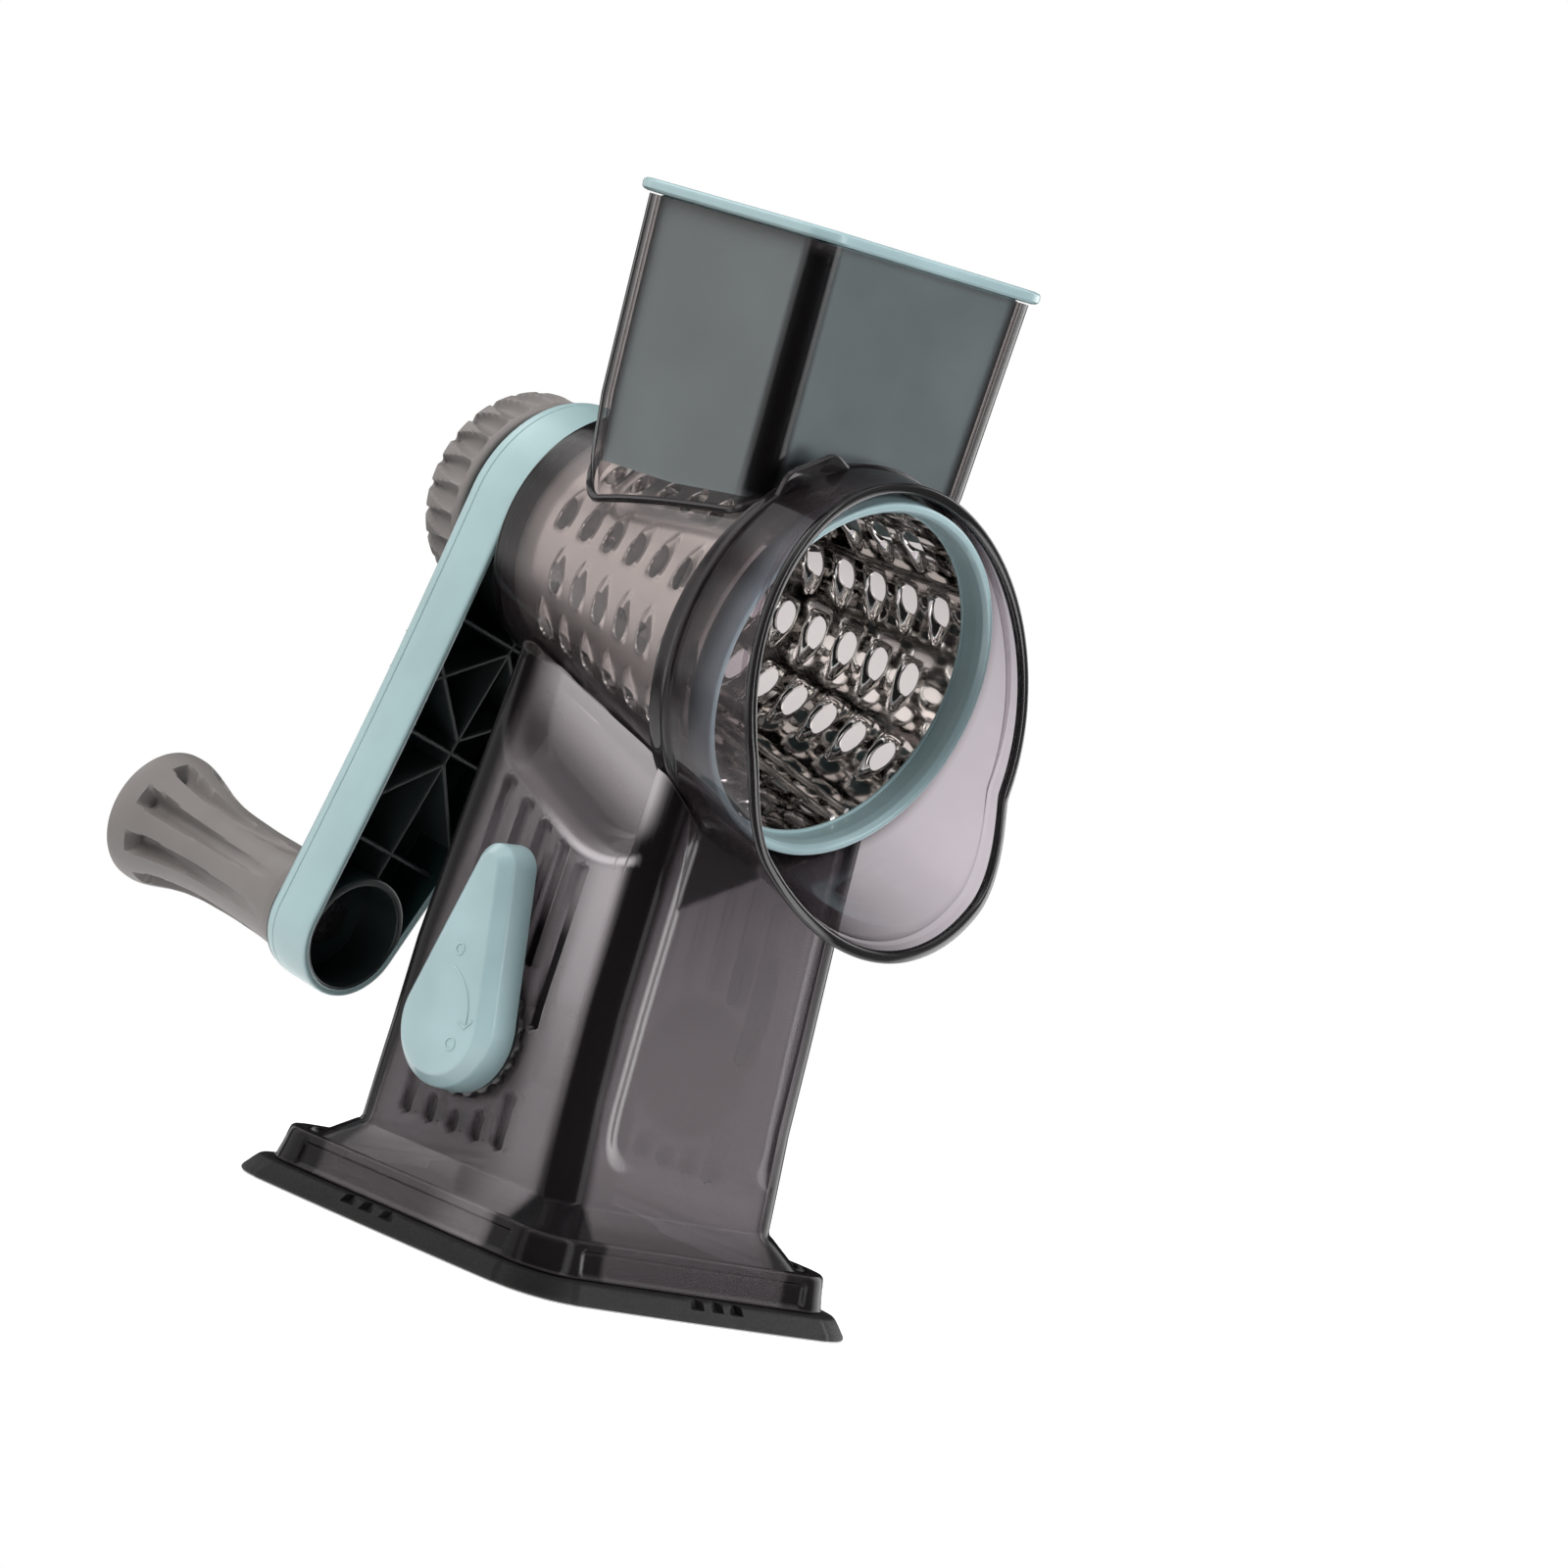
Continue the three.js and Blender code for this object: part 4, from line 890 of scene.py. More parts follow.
def build_shield():
    sides = 288
    angle = angles(sides)
    length = shield_reach(angle) - SHIELD_BACK

    def row(place, outward_by):
        """A ring at a share of the way to the lip, or so many mm short of it when negative."""
        share = place * np.ones(sides) if place >= 0 else 1 + place / np.abs(length)
        radius = SHIELD_RADIUS + shield_rise(angle, share) + outward_by
        along = SHIELD_BACK + share * length
        return np.column_stack([radius * np.sin(angle), along, -radius * np.cos(angle)])

    collar = [(0.0, -0.5), (0.004, -0.12), (0.015, 0.0), (0.04, 0.0), (0.055, 0.0), (0.075, 0.0), (0.10, 0.0),
              (0.118, 0.1), (0.13, 0.45), (0.15, 0.62), (0.175, 0.55), (0.19, 0.2), (0.2, 0.0)]
    outside = [(share, 0.0) for share in np.linspace(0.23, 0.9, 26)] + [(-2.5, 0.0), (-2.5, -2.0)]
    ridge = [(-4.6, -2.0), (-5.4, -2.0), (-5.7, -2.25), (-6.1, -2.5), (-6.5, -2.5), (-6.9, -2.25),
             (-7.3, -2.0)]
    inside = [(share, -2.0) for share in np.linspace(0.84, 0.02, 26)] + [(0.0, -1.8)]
    shell = closed_loop([row(*place) for place in collar + outside + ridge + inside])
    lip = [(-2.6, 0.02), (-2.2, 0.25), (-1.7, 0.42), (-1.0, 0.5), (-0.5, 0.35), (-0.12, 0.0), (1.0, -0.55),
           (1.0, -1.6), (-0.12, -2.2), (-0.5, -2.5), (-1.0, -2.68), (-1.7, -2.6), (-2.2, -2.35),
           (-2.6, -2.02)]
    edge = closed_loop([row(*place) for place in lip])
    make("hood_lip", [edge], smoky_lip, "base", head=True, sharp=50)
    make("hood_tab", [thumb_tab()], smoky_lip, "base", head=True, sharp=40)
    make("hood_shell", [shell], smoky_shield, "base", ["mouth_shield"], head=True, sharp=40)


def thumb_tab():
    outline = fillet([(-13, 54.0), (13, 54.0), (8.6, 60), (-8.6, 60)], [0.6, 0.6, 3, 3], 5)
    middle = outline.mean(0)
    turn = math.radians(30)
    spin = np.array([[math.cos(turn), -math.sin(turn)], [math.sin(turn), math.cos(turn)]])
    insets = [(-35.4, 0.5), (-35.1, 0.1), (-33.9, 0.0), (-33.6, 0.4)]
    return loft(stack("y", [(y, (middle + (outline - middle) * (1 - inset / 6)) @ spin.T)
                            for y, inset in insets]))


# ---------------------------------------------------------------- drum

HOLES, HOLE_PITCH, FIRST_HOLE = 7, 11.25, -34.3
STATIONS = 13
STATION = TURN / STATIONS
FIRST_STATION = math.radians(61.5)
CELL_SIDE, CELL_TOP, CELL_DEPTH = 16, 14, 8
SHEET = 0.75
HOLE_HALF_AROUND, HOLE_HALF_ALONG, HOLE_SHIFT = 4.7, 3.1, 0.4


def tooth_height(around, along):
    """How far the sheet is raised round a hole; around is mm from the hole, growing to the open end."""
    t = np.clip((around + 9.6) / 8.6, 0, 1)
    width = 0.5 + 3.3 * t ** 0.85
    across = np.clip(np.abs(along) / width, 0, 1)
    crown = (1 - across ** 2) ** 1.4
    return 2.35 * crown * smooth(t, 0, 1.05) ** 0.8 * (1 - smooth(around, 0.6, 6.6))


def sheet_point(angle, along, raised):
    radius = drum_radius(along) + raised
    return np.stack([radius * np.sin(angle), along, -radius * np.cos(angle)], -1)


def tooth_cell(angle0, along0):
    """Quads from the rim of one hole out to the borders of its rectangular cell."""
    half_a, half_y = STATION / 2, HOLE_PITCH / 2
    side = np.linspace(-1, 1, CELL_SIDE + 1)[:-1]
    top = np.linspace(-1, 1, CELL_TOP + 1)[:-1]
    border = np.concatenate([
        np.column_stack([np.full(CELL_SIDE, 1.0), side]), np.column_stack([-top, np.full(CELL_TOP, 1.0)]),
        np.column_stack([np.full(CELL_SIDE, -1.0), -side]), np.column_stack([top, np.full(CELL_TOP, -1.0)]),
    ])
    radius = drum_radius(along0)
    outer_a, outer_y = border[:, 0] * half_a * radius, border[:, 1] * half_y
    spoke = np.arctan2(outer_y / HOLE_HALF_ALONG, (outer_a - HOLE_SHIFT) / HOLE_HALF_AROUND)
    hole_a, hole_y = HOLE_SHIFT + HOLE_HALF_AROUND * np.cos(spoke), HOLE_HALF_ALONG * np.sin(spoke)
    rows = []
    for share in np.linspace(0, 1, CELL_DEPTH + 1) ** 1.25:
        a = hole_a + (outer_a - hole_a) * share
        y = hole_y + (outer_y - hole_y) * share
        rows.append((angle0 + a / radius, along0 + y, tooth_height(a, y) * (1 - smooth(share, 0.9, 1.0))))
    return rows


def drum_patches():
    """The sheet as patches of (angle, along, raised) rows, with the wrap of their columns."""
    patches = []
    step = HOLE_PITCH / CELL_SIDE
    low_end, high_end = FIRST_HOLE - HOLE_PITCH / 2, FIRST_HOLE + HOLES * HOLE_PITCH
    for station in range(STATIONS):
        angle0 = FIRST_STATION + station * STATION
        columns = angle0 + np.linspace(-0.5, 0.5, CELL_TOP + 1) * STATION
        first = FIRST_HOLE + (station % 2) * HOLE_PITCH / 2 - HOLE_PITCH / 2
        last = first + HOLES * HOLE_PITCH
        if station == STATIONS - 1:
            # The seam: no holes.
            spans = [[[DRUM_FRONT], np.arange(low_end, high_end + step / 2, step), [DRUM_BACK]]]
        else:
            patches += [(tooth_cell(angle0, first + (k + 0.5) * HOLE_PITCH), True) for k in range(HOLES)]
            spans = [[[DRUM_FRONT], np.arange(low_end, first - step / 2, step), [first]],
                     [np.arange(last, high_end + step / 2, step), [DRUM_BACK]]]
        for span in spans:
            places = np.unique(np.round(np.concatenate(span), 4))
            rows = [(columns, np.full(len(columns), y), np.zeros(len(columns))) for y in places]
            patches.append((rows, False))
    return patches


def build_drum():
    parts = []
    for inner in (False, True):
        for rows, wrap in drum_patches():
            points = np.array([sheet_point(a, y, r - (SHEET if inner else 0.0)) for a, y, r in rows])
            verts, faces = grid(points, wrap_columns=wrap)
            if (outward_sign(verts, faces) < 0) != inner:
                faces = [f[::-1] for f in faces]
            parts.append((verts, faces))
    mesh = welded("drum_sheet", *merged(parts + hole_walls()))
    mesh.transform(Matrix.Scale(MM, 4) @ HEAD)
    finish_mesh("drum_sheet", mesh, chrome_steel, "crank", ["drum_shell"], 50)
    bars = []
    for degrees in (30.0, 36.2):
        along = np.linspace(DRUM_FRONT + 0.5, DRUM_BACK - 0.5, 24)
        bars.append(sweep([sheet_point(math.radians(degrees), a, -SHEET - 0.25) for a in along], 0.85, 12))
    make("drum_seam", bars, chrome_steel, "crank", head=True)


def outward_sign(verts, faces):
    """Positive when a patch of the drum faces away from the axis."""
    f = faces[len(faces) // 2]
    a, b, c = verts[f[0]], verts[f[1]], verts[f[2]]
    middle = (a + c) / 2
    return float(np.dot(np.cross(b - a, c - a), (middle[0], 0, middle[2])))


def hole_walls():
    """The sheet's cut edge inside each hole and at both ends of the drum, as parts."""
    parts = []
    for rows, wrap in drum_patches():
        if wrap:
            edges = [rows[0]]
        else:
            edges = [row for row in (rows[0], rows[-1]) if row[1][0] in (DRUM_FRONT, DRUM_BACK)]
        for a, y, r in edges:
            strip = np.array([sheet_point(a, y, r), sheet_point(a, y, r - SHEET)])
            parts.append(grid(strip, wrap_columns=wrap))
    return parts


def welded(name, verts, faces):
    """A mesh whose coincident points are merged and whose faces all point outwards."""
    verts = np.array(verts)
    _, first, index = np.unique(np.round(verts, 3), axis=0, return_index=True, return_inverse=True)
    index = np.ravel(index)
    clean = []
    for f in faces:
        g = [int(index[i]) for i in f]
        g = [v for k, v in enumerate(g) if v != g[k - 1]]
        if len(set(g)) >= 3:
            clean.append(g)
    mesh = bpy.data.meshes.new(name)
    mesh.from_pydata(verts[first].tolist(), [], clean)
    mesh.validate()
    bm = bmesh.new()
    bm.from_mesh(mesh)
    bmesh.ops.recalc_face_normals(bm, faces=bm.faces)
    bm.to_mesh(mesh)
    bm.free()
    return mesh


def build_rim():
    inner = DRUM_FRONT_RADIUS - 0.8
    outer = DRUM_FRONT_RADIUS + 0.05
    front = DRUM_FRONT - 0.35
    profile = fillet([
        (inner, front), (49.2, front), (49.5, front + 0.7), (50.8, front + 0.9), (50.8, -50.8), (48.9, -50.8),
        (outer + 0.4, -49.4), (outer + 0.05, -47.0), (outer, front + 1.9), (inner, front + 1.9),
    ], [0.3, 0.5, 0.3, 0.4, 1.2, 0.5, 0.4, 0.01, 0.1, 0.3], 5)
    make("drum_rim_ring", [lathe(profile, segments=192)], teal_plastic, "crank", ["drum_rim"],
         head=True, sharp=50)


def build_hub():
    flange = lathe(fillet([(4.8, 54.2), (25.9, 54.2), (25.9, 56.1), (19.3, 56.4), (19.3, 60.2), (4.8, 60.2)],
                          [0.2, 0.4, 0.6, 0.5, 0.6, 0.2], 4))
    teeth = 12
    angle = angles(teeth * 12)
    wave = 16.2 + 0.75 * np.clip(1.8 * np.cos(teeth * angle), -1, 1)
    levels = [(60.0, 0), (60.6, 0), (75.6, 0), (76.4, 0.3), (76.8, 1.0), (76.85, 5)]
    spline = loft(stack("y", [(y, polar(wave - inset, angle)) for y, inset in levels]))
    make("drum_hub_spline", [flange, spline], teal_plastic, "crank", ["drum_hub"], head=True)


# ---------------------------------------------------------------- crank

ARM_LENGTH = float(np.linalg.norm(ARM_TIP))
ARM_ALONG = ARM_TIP / ARM_LENGTH
ARM_ACROSS = np.array([-ARM_ALONG[1], ARM_ALONG[0]])
ARM_WAIST = 1.2
HOLLOW_FRONT = 61.5


def two_circles(radius, tip, tip_radius, inset=0.0, waist=0.0, steps=40):
    """The outline round two circles, the larger at the origin, with flanks pulled in by waist."""
    distance = np.linalg.norm(tip)
    heading = math.atan2(tip[1], tip[0])
    lean = math.acos((radius - tip_radius) / distance)
    tip_angle = heading - lean + 2 * lean * np.linspace(0, 1, steps)
    head_angle = heading + lean + 2 * (math.pi - lean) * np.linspace(0, 1, 2 * steps)
    tip_arc = np.array(tip) + polar(tip_radius - inset, tip_angle)
    head_arc = polar(radius - inset, head_angle)

    def flank(start, end):
        share = np.linspace(0, 1, steps)[1:-1, None]
        along = end - start
        inward = np.array([-along[1], along[0]]) / np.linalg.norm(along)
        return start + share * along + waist * np.sin(math.pi * share) * inward

    flanks = flank(tip_arc[-1], head_arc[0]), flank(head_arc[-1], tip_arc[0])
    return np.concatenate([tip_arc, flanks[0], head_arc, flanks[1]])


def arm_outline(inset):
    return two_circles(ARM_HEAD_RADIUS, ARM_TIP, ARM_TIP_RADIUS, inset, ARM_WAIST)


def arm_point(along, across):
    return along * ARM_ALONG + across * ARM_ACROSS


def arm_half_width(along):
    return (ARM_HEAD_RADIUS - 0.1235 * along) * 1.008 - 2.2


def rib(start, end, front=64.8, thickness=1.3):
    """A moulded rib between two (along, across) places in the arm's hollow."""
    a, b = arm_point(*start), arm_point(*end)
    side = np.array([-(b - a)[1], (b - a)[0]]) / np.linalg.norm(b - a) * thickness / 2
    levels = [(front, 0.45), (front + 0.25, 0.8), (front + 0.8, 1.0), (ARM_FLOOR + 1, 1.35)]
    return loft(stack("y", [(y, [a - side * share, b - side * share, b + side * share, a + side * share])
                            for y, share in levels]))


def build_arm():
    outer = [(ARM_BACK, 14), (ARM_BACK, 5.0), (79.5, 3.4), (79.2, 2.2), (78.7, 1.3), (78.0, 0.6),
             (77.0, 0.25), (75.6, 0.1), (75.2, 0.1), (75.0, 0.32), (74.8, 0.1), (74.4, 0.0), (70, 0.0),
             (66, 0.0), (62.4, 0.0), (61.4, 0.05), (60.9, 0.25), (60.65, 0.6), (ARM_FRONT, 0.95)]
    inner = [(ARM_FRONT, 1.6), (60.8, 1.95), (61.3, WALL), (66, WALL + 0.05), (72, WALL + 0.15),
             (76.2, WALL + 0.3), (76.9, WALL + 0.6), (ARM_FLOOR, WALL + 1.3), (ARM_FLOOR, WALL + 12)]
    parts = [loft(stack("y", [(y, arm_outline(inset)) for y, inset in outer + inner]))]
    parts.append(lathe(fillet([(14.8, 78.5), (15.6, 78.5), (15.6, 80.2), (4.8, 80.2), (4.8, 78.5)], 0.3, 3),
                       ARM_TIP, 96))
    arm = make("arm_shell", parts, arm_material(), "crank", ["crank_arm"], head=True,
               sharp=40)
    mark_hollow(arm)
    socket = lathe(fillet([(17.4, 61.2), (21.5, 61.2), (21.6, 78), (17.4, 78)], [0.5, 0.5, 0.1, 0.1], 4))
    tube = lathe(fillet([(15.2, 61.0), (17.4, 61.0), (17.4, 78.5), (15.2, 78.5)], [0.7, 0.7, 0.1, 0.1], 5),
                 ARM_TIP, 96)
    lattice = [socket, tube]
    lattice.append(rib((20, 0), (ARM_LENGTH - 16.5, 0)))
    for along in (38.0, 72.0, 104.7):
        width = arm_half_width(along)
        lattice.append(rib((along, -width), (along, width)))
    for start, lean in ((36.0, -1), (68.0, -1), (40.0, 1), (75.6, 1)):
        for side in (-1, 1):
            along = start + lean * 20.0
            width = arm_half_width(along) if along > 22 else 27.5
            lattice.append(rib((start, 0), (along, side * width)))
    for degrees in (50, 90, 130, 180, 230, 270, 310):
        turn = math.radians(degrees)
        lattice.append(rib(polar(20.5, turn), polar(32.3, turn)))
    make("arm_lattice", lattice, shadow_green, "crank", head=True, sharp=30)


def arm_material():
    """Teal outside, and painted shade: a dark teal on the arm's deep hollow inside its rim."""
    n = Material("arm_plastic")
    flow = n.noise(22.0, 3.0, 0.6)
    fine = n.noise(2600.0, 2.0, 0.6)
    shade = n.blend(n.remap(flow, 0.35, 0.65), srgb(128, 150, 152), srgb(137, 160, 162))
    shade = n.blend(n.edge_wear(0.5), shade, srgb(160, 182, 184))
    # Painted shade in the arm's hollow.
    shade = n.blend(n.attribute("hollow"), shade, srgb(20, 36, 36))
    n.set(Base_Color=shade, Roughness=n.remap(flow, 0.3, 0.7, 0.3, 0.4), Normal=n.bump(fine, 0.02, 0.0001))
    n.set(Coat_Weight=0.15, Coat_Roughness=0.12)
    return n.material


def mark_hollow(piece):
    """Writes the hollow attribute: 1 on faces inside the arm, 0 on its outside."""
    mesh = piece.data
    centers = np.zeros(len(mesh.polygons) * 3)
    mesh.polygons.foreach_get("center", centers)
    to_head = np.array(HEAD.inverted())
    x, y, height = (centers.reshape(-1, 3) / MM @ to_head[:3, :3].T + to_head[:3, 3]).T
    inside = depth_inside(x, height, arm_outline(1.75))
    write_attribute(mesh, "hollow", "FACE", (inside > 0) & (y < ARM_FLOOR + 0.2) & (y > HOLLOW_FRONT))


def build_knob():
    count = 24
    angle = angles(count * 14)
    phase = np.mod(angle * count / TURN, 1.0) - 0.5
    profile = fillet([(12.0, KNOB_FRONT), (30.2, KNOB_FRONT), (KNOB_RADIUS, 83.0), (KNOB_RADIUS, 92.0),
                      (30.2, 96.6), (27.6, 100.4), (20.5, 102.2), (6.0, 102.9)],
                     [0.2, 0.7, 0.9, 4, 3.2, 4, 5, 1], 10, closed=False)
    rows = []
    lengths = np.concatenate([[0], np.cumsum(np.linalg.norm(np.diff(profile, axis=0), axis=1))])
    fine = np.linspace(0, lengths[-1], 120)
    radii, alongs = np.interp(fine, lengths, profile[:, 0]), np.interp(fine, lengths, profile[:, 1])
    for r, y in zip(radii, alongs):
        opened = smooth(y, 84.7, 86.4) * (1 - smooth(y, 97.5, 101.5))
        half = 0.46 - 0.30 * smooth(y, 88.0, 100.5)
        dip = 2.7 * opened * np.maximum(1 - (phase / half) ** 2, 0.0) ** 0.8
        rows.append((y, polar(r - np.where(r > 22, dip, 0.0), angle)))
    body = loft(stack("y", rows))
    make("knob_body", [body], grey_plastic, "knob", ["crank_knob"], head=True, sharp=45)


def build_grip():
    flutes = 8
    angle = angles(flutes * 24) + math.radians(8)
    phase = np.mod(angle * flutes / TURN, 1.0) - 0.5
    along = np.linspace(0, 69.2, 110)
    radius = np.interp(along, [0, 0.6, 1.4, 12, 26, 38, 47, 55, 60, 64, 67, 68.4, 69.2],
                       [14.0, 14.5, 14.6, 13.9, 13.7, 14.1, 15.1, 16.8, 18.3, 19.4, 20.0, 20.0, 19.6])
    radius = np.convolve(np.pad(radius, 3, "edge"), np.ones(7) / 7, "valid")
    rows = []
    for s, r in zip(along, radius):
        deep = np.interp(s, [6, 14, 30, 46, 56, 61.0, 62.2], [0, 0.9, 2.1, 3.6, 5.6, 5.6, 0])
        half = np.interp(s, [6, 20, 45, 56, 62.3], [0.12, 0.18, 0.23, 0.25, 0.20])
        dip = deep * np.maximum(1 - (phase / half) ** 2, 0.0) ** 0.45
        rows.append((GRIP_START + s, ARM_TIP + polar(r - dip, angle)))
    for lift, r in [(0.25, 19.0), (0.3, 18.2), (0.1, 17.4), (-0.2, 16.6)]:
        rows.append((GRIP_END + lift, ARM_TIP + polar(r, angle)))
    body = loft(stack("y", rows))
    make("grip_body", [body], grey_plastic, "grip", ["grip"], head=True, sharp=50)
    cap = spindle([(1, GRIP_END - 4), (16.2, GRIP_END - 4), (16.2, GRIP_END + 0.3), (16.0, GRIP_END + 0.8),
                   (15.3, GRIP_END + 1.3), (12, GRIP_END + 2.3), (8, GRIP_END + 2.9), (4, GRIP_END + 3.2),
                   (0.5, GRIP_END + 3.35)], ARM_TIP, 96)
    make("grip_end_cap", [cap], grey_plastic, "grip", ["grip_cap"], head=True, sharp=40)


# ---------------------------------------------------------------- lever, foot and pusher

def lever_outline(inset):
    lean = math.radians(1.5)
    tip = (-44 * math.sin(lean), 44 * math.cos(lean))
    return two_circles(17.4, tip, 7.0, inset) + np.array([LEVER_Y, LEVER_HEIGHT])


def build_lever():
    levels = [(LEVER_BACK, 4.0), (LEVER_BACK, 0.3), (-47.1, -0.1), (-47.5, -0.4), (-48.2, -0.5), (-52, -0.25),
              (-55.0, -0.05), (-55.5, 0.02), (-55.85, 0.2), (-56.1, 0.42), (-57.2, 1.5), (-58.3, 2.6),
              (-58.65, 2.98), (-58.85, 3.35), (LEVER_FACE, 3.9), (LEVER_FACE, 6.0)]
    parts = [loft(stack("x", [(x, lever_outline(inset)) for x, inset in levels]))]
    make("lever_body", parts, teal_plastic, "lever", ["suction_lever"], sharp=28)
    face, thick = LEVER_FACE - 0.02, 0.34
    t = np.linspace(0, 1, 30)[:, None]
    arc_start, arc_bend, arc_end = np.array((5.6, 73.2)), np.array((-4.6, 68.4)), np.array((-4.4, 58.6))
    arc = (1 - t) ** 2 * arc_start + 2 * t * (1 - t) * arc_bend + t * t * arc_end
    marks = [sweep([(face, y, z) for y, z in arc], thick, 10)]
    for barb in ((-1.4, 59.6), (-6.6, 61.0)):
        line = [arc_end + (np.array(barb) - arc_end) * s for s in np.linspace(0, 1, 6)]
        marks.append(sweep([(face, y, z) for y, z in line], thick, 10))
    for y, z, radius in ((5.4, 78.2, 1.5), (-0.9, 53.2, 1.7)):
        tube = [(face + 0.3 * math.cos(a), np.array([y, z]) + circle(radius + 0.3 * math.sin(a), 40))
                for a in angles(8)]
        marks.append(closed_loop(stack("x", tube)))
    make("lever_marks", marks, teal_plastic, "lever", sharp=60)


def build_detent():
    teeth = 20
    angle = angles(teeth * 12)
    wave = 18.4 + 0.5 * np.clip(1.6 * np.cos(teeth * angle), -1, 1)
    middle = np.array([LEVER_Y, LEVER_HEIGHT])
    levels = [(-44.9, 7.4), (-44.9, 0.3), (-45.1, 0.0), (-46.2, 0.0), (-46.5, 0.35), (-46.5, 7.4)]
    ring = closed_loop(stack("x", [(x, middle + polar(wave - inset, angle)) for x, inset in levels]))
    make("detent_scallops", [ring], shadow_black_plastic, "base", ["detent_ring"], sharp=50)


NOTCHES = ((-5.6, -0.8), (2.8, 7.0), (10.4, 14.6))
NOTCH_DEPTH, NOTCH_LOWEST = 2.6, 3.4


def build_pad():
    ring = Square(side=150, rear=150, front=150, corner=20)
    levels = [(0.0, 64.5, 62.5, 15), (0.0, 66.2, 64.2, 15.9), (0.12, 66.5, 64.5, 16),
              (0.5, 66.65, 64.65, 16), (1.1, 66.5, 64.5, 16), (2.2, 65.8, 63.8, 15.8),
              (3.3, 65.1, 63.1, 15.6), (3.5, 65.0, 63.0, 15.6), (4.3, 64.3, 62.4, 15.2),
              (5.0, 63.8, 61.9, 15.1), (5.35, 63.4, 61.5, 15), (5.5, 62.8, 60.9, 14.9),
              (5.5, 60.0, 58.2, 14)]
    points, normals = ring.rings(even(levels))
    x, y, z = points[..., 0], points[..., 1], points[..., 2]
    along = np.where(ring.on_side, y, x)
    share = np.clip(1 - (along / np.where(ring.on_side, 64.5, 66.5)) ** 2, 0, 1)
    bow = np.where(ring.flat, 1.4 * share - 0.1, 0.0)
    notch = np.zeros(x.shape)
    for low, high in NOTCHES:
        notch = np.maximum(notch, ((along > low) & (along < high)).astype(float))
    notch = notch * (z > NOTCH_LOWEST) * ring.flat
    body = loft(points + normals * (bow - NOTCH_DEPTH * notch)[..., None])
    make("foot_pad", [body], black_rubber, "base", ["suction_pad"], sharp=35)


def pusher_skin(ring, inset, extra, floor, top):
    """Rings of one skin of the pusher, from the middle of its floor, which clears the drum, to its top."""

    def floor_at(x, y):
        return np.maximum(floor, envelope_height(x, y, lambda along: drum_radius(along) + extra, above=True))

    share = np.linspace(0, 1, 60)[:, None]
    table = np.array(HOPPER_LEVELS[1:])
    outlines = [ring.outline(h - inset, f - inset, r - inset, c - inset)[0] for _, h, f, r, c in table]
    low = np.full(len(ring.kind), floor)
    for _ in range(4):
        height = low + share * (top - low)
        t = np.clip((height - table[0, 0]) / (table[1, 0] - table[0, 0]), 0, 1)[..., None]
        t2 = np.clip((height - table[1, 0]) / (table[2, 0] - table[1, 0]), 0, 1)[..., None]
        flat = (outlines[0] * (1 - t) + outlines[1] * t) * (1 - t2) + outlines[2] * t2
        low = floor_at(flat[0, :, 0], flat[0, :, 1])
    caps = []
    for step in np.linspace(1, 0, 24)[:-1]:
        x, y = flat[0].T * (1 - step)
        caps.append(np.column_stack([x, y, floor_at(x, y)]))
    return np.concatenate([np.array(caps), np.concatenate([flat, height[..., None]], -1)])


def build_pusher():
    ring = Square(side=40, rear=40, front=40)
    outer = pusher_skin(ring, 3.2, 7.7, 214.2, 287.6)
    inner = pusher_skin(ring, 5.2, 9.7, 216.2, 289.0)
    flange = [(287.95, 41.6, 33.2, 33.2, 7), (288.0, 45.4, 37.0, 37.0, 8.4), (288.2, 46.3, 37.9, 37.9, 9),
              (288.8, 46.9, 38.4, 38.4, 9), (290.0, 47.0, 38.5, 38.5, 9), (290.8, 46.9, 38.4, 38.4, 9),
              (291.3, 46.4, 37.9, 37.9, 8.8), (291.5, 45.5, 37.0, 37.0, 8.6), (291.5, 40.5, 32.3, 32.2, 5),
              (291.2, 39.6, 31.6, 31.5, 4.2), (290.4, 39.35, 31.25, 31.15, 3.4)]
    rim = ring.rings(flange)[0]
    rings = np.concatenate([outer, rim, inner[::-1]])
    make("pusher_cup", [loft(rings)], teal_plastic, "pusher", ["pusher"], sharp=32)


# ---------------------------------------------------------------- carried-over CAD nodes

def dress_cad_nodes():
    looks = [
        (chrome_steel, ["drum_back_plate"]),
        (dark_steel, ["grip_axle", "grip_washer", "grip_axle_nut"]),
        (hardware_steel, ["knob_stud", "knob_washer", "cam_shaft", "shaft_clip"]),
        (hardware_steel, [f"{name}_{k}" for name in ("drum_rivet", "base_screw") for k in range(1, 5)]),
        (inner_plastic, ["base_plate", "suction_stem", "plunger"]),
        (smoky_inner, ["shaft_bracket"]),
    ]
    for material, names in looks:
        for name in names:
            paint(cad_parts[name].data, material)


# ---------------------------------------------------------------- stage, lights and camera

def area_light(name, place, target, size, power, color=(1, 1, 1), size_y=None):
    light = bpy.data.lights.new(name, "AREA")
    light.shape = "RECTANGLE"
    light.size, light.size_y = size, size_y or size
    light.energy, light.color = power, color
    obj = placed(name, light)
    obj.location = place
    obj.rotation_euler = (Vector(target) - Vector(place)).to_track_quat("-Z", "Y").to_euler()
    obj.visible_camera = False
    obj.visible_glossy = False


FADE_START, FADE_END = 0.16, 0.42
FLOOR_RADIUS, FLOOR_LEVEL, FLOOR_SIDES = 0.45, -0.0004, 72


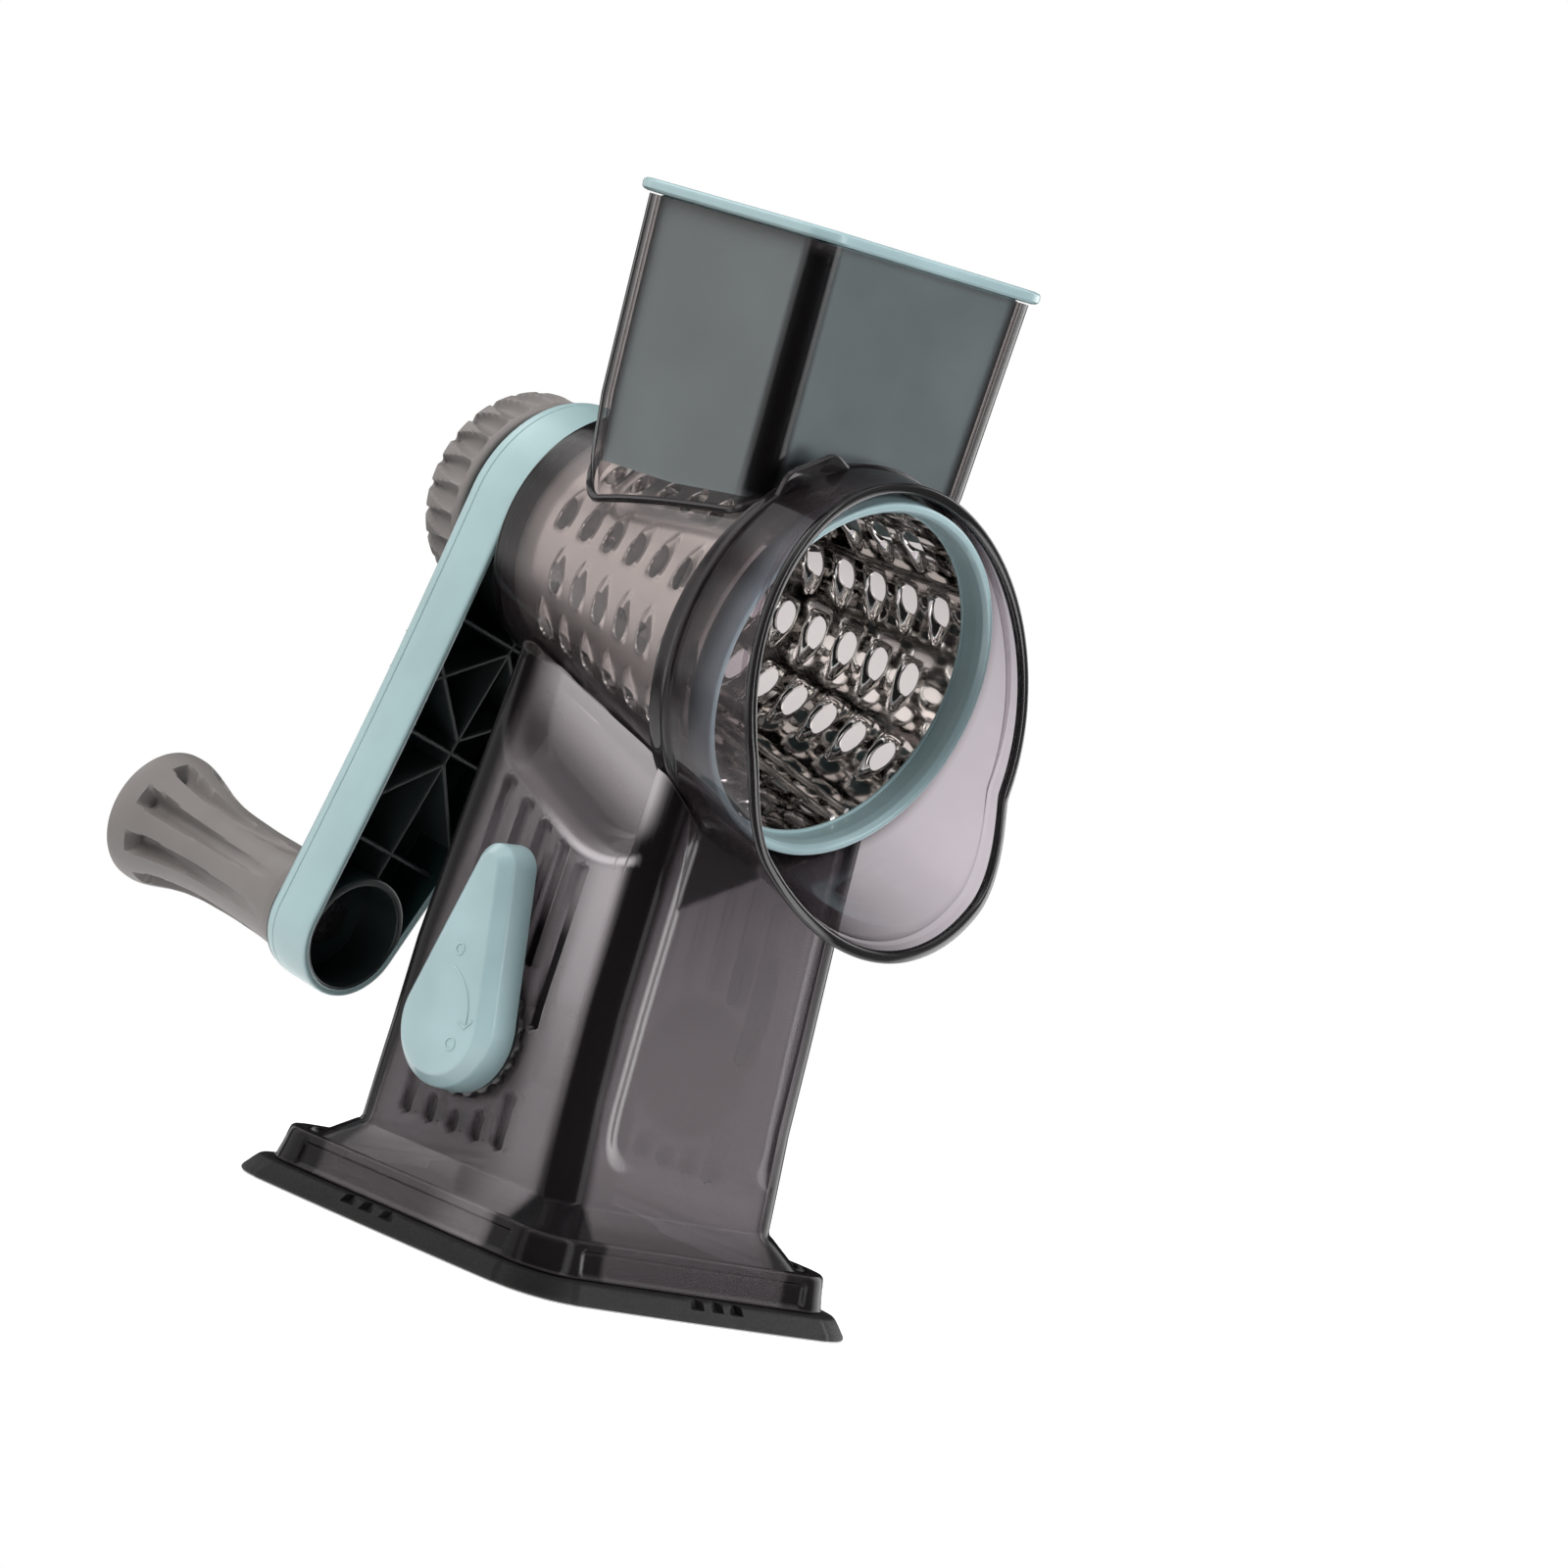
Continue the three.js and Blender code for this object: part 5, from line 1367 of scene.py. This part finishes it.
def build_floor():
    """A pale floor that fades into the backdrop well away from the object."""
    n = Material("pale_floor")
    far = n.add("ShaderNodeVectorMath", {0: n.place}, operation="LENGTH").outputs["Value"]
    n.set(Base_Color=(0.86, 0.86, 0.86, 1.0), Roughness=0.8, Specular_IOR_Level=0.1)
    n.set(Normal=n.bump(n.noise(400.0), 0.02, 0.0002))
    n.set(Emission_Color=(1, 1, 1, 1), Emission_Strength=0.45)
    clear = n.add("ShaderNodeBsdfTransparent", {"Color": (1, 1, 1, 1)})
    n.show(n.soft_remap(far, FADE_START, FADE_END), n.principled, clear)
    radii = np.linspace(0.002, FLOOR_RADIUS, 24)
    verts, faces = grid(stack("z", [(FLOOR_LEVEL, circle(r, FLOOR_SIDES)) for r in radii]))
    faces.append(list(range(FLOOR_SIDES)))
    mesh = bpy.data.meshes.new("floor")
    mesh.from_pydata(verts.tolist(), [], faces)
    mesh.materials.append(n.material)
    floor = placed("floor", mesh)


STUDIO_PANELS = [
    # azimuth, half width and softness in degrees; lowest and highest z of the direction; brightness
    (123, 19, 9, -0.35, 0.45, 1.7),
    (108, 20, 9, 0.50, 0.80, 2.6),
    (160, 6, 6, -0.60, 0.85, 1.9),
    (316, 11, 7, -0.45, 0.60, 0.30),
    (352, 18, 8, -0.50, 0.60, 4.0),
    (291, 8, 6, -0.60, 0.85, 5.0),
    (82, 6, 4, -0.30, 0.70, 1.6),
]
STUDIO_TOP, STUDIO_DARK = 0.9, 0.018


def build_world():
    """White to the camera, dim and even for diffuse light, and a dark studio of panels for reflections."""
    world = bpy.data.worlds.new("studio")
    bpy.context.scene.world = world
    world.use_nodes = True
    world.cycles.sampling_method = "NONE"
    world.node_tree.nodes.clear()
    n = Nodes(world.node_tree)
    direction = n.add("ShaderNodeTexCoord").outputs["Generated"]
    x, y, z = n.split(direction)
    level = n.unit(n.add("ShaderNodeCombineXYZ", {0: x, 1: y}).outputs[0])
    total = n.math("ADD", n.times(n.soft_remap(z, 0.72, 0.95), STUDIO_TOP), STUDIO_DARK)
    for azimuth, half, soft, low, high, value in STUDIO_PANELS:
        toward = (*polar(1.0, math.radians(azimuth)), 0.0)
        ends = [math.cos(math.radians(edge)) for edge in (half + soft, max(half - soft, 0.5))]
        wide = n.soft_remap(n.dot(level, toward), *ends)
        tall = n.times(n.soft_remap(z, low - 0.12, low + 0.12), n.soft_remap(z, high + 0.15, high - 0.15))
        total = n.math("ADD", total, n.times(n.times(wide, tall), value))
    studio = n.add("ShaderNodeBackground", {0: (1.0, 0.99, 0.985, 1), 1: total})
    fill = n.add("ShaderNodeBackground", {0: (0.26, 0.26, 0.265, 1)})
    backdrop = n.add("ShaderNodeBackground", {0: (1.0, 1.0, 1.0, 1)})
    path = n.add("ShaderNodeLightPath").outputs
    shiny = n.mix(path["Is Glossy Ray"], fill, studio)
    seen = n.mix(path["Is Camera Ray"], shiny, backdrop)
    n.add("ShaderNodeOutputWorld", {0: seen.outputs[0]})


def build_camera():
    """The fitted view: lens and pose of the camera, in millimetres and metres."""
    camera = bpy.data.cameras.new("camera")
    camera.sensor_width, camera.lens = 36.0, 172.6
    camera.clip_start, camera.clip_end = 0.05, 20
    obj = placed("camera", camera)
    right, up, back = (0.6626, -0.6930, 0.2841), (-0.1490, 0.2498, 0.9568), (-0.7340, -0.6763, 0.0623)
    place = (-1.4928, -1.4121, 0.2713)
    obj.matrix_world = Matrix([[right[i], up[i], back[i], place[i]] for i in range(3)] + [[0, 0, 0, 1]])
    bpy.context.scene.camera = obj


def build_lights():
    """Softboxes for the diffuse light; the world's panels are what shows up in reflections."""
    middle = (0, 0, 0.15)
    area_light("left_box", (-0.95, 0.25, 0.95), middle, 0.6, 18, (1.0, 0.985, 0.97), 0.8)
    area_light("front_box", (0.45, -1.15, 0.45), middle, 0.5, 19, (0.98, 0.985, 1.0), 0.9)
    area_light("top_box", (-0.25, -0.15, 1.3), middle, 0.7, 9)
    area_light("side_box", (1.1, 0.1, 0.4), middle, 0.4, 4, (0.98, 0.97, 1.0), 0.9)


scene = bpy.context.scene
scene.view_settings.view_transform = "Standard"
scene.cycles.transparent_max_bounces = 40

build_camera()
build_world()
build_lights()
build_floor()
build_stand()
build_housing()
build_shield()
build_drum()
build_rim()
build_hub()
build_arm()
build_knob()
build_grip()
build_lever()
build_detent()
build_pad()
build_pusher()
dress_cad_nodes()
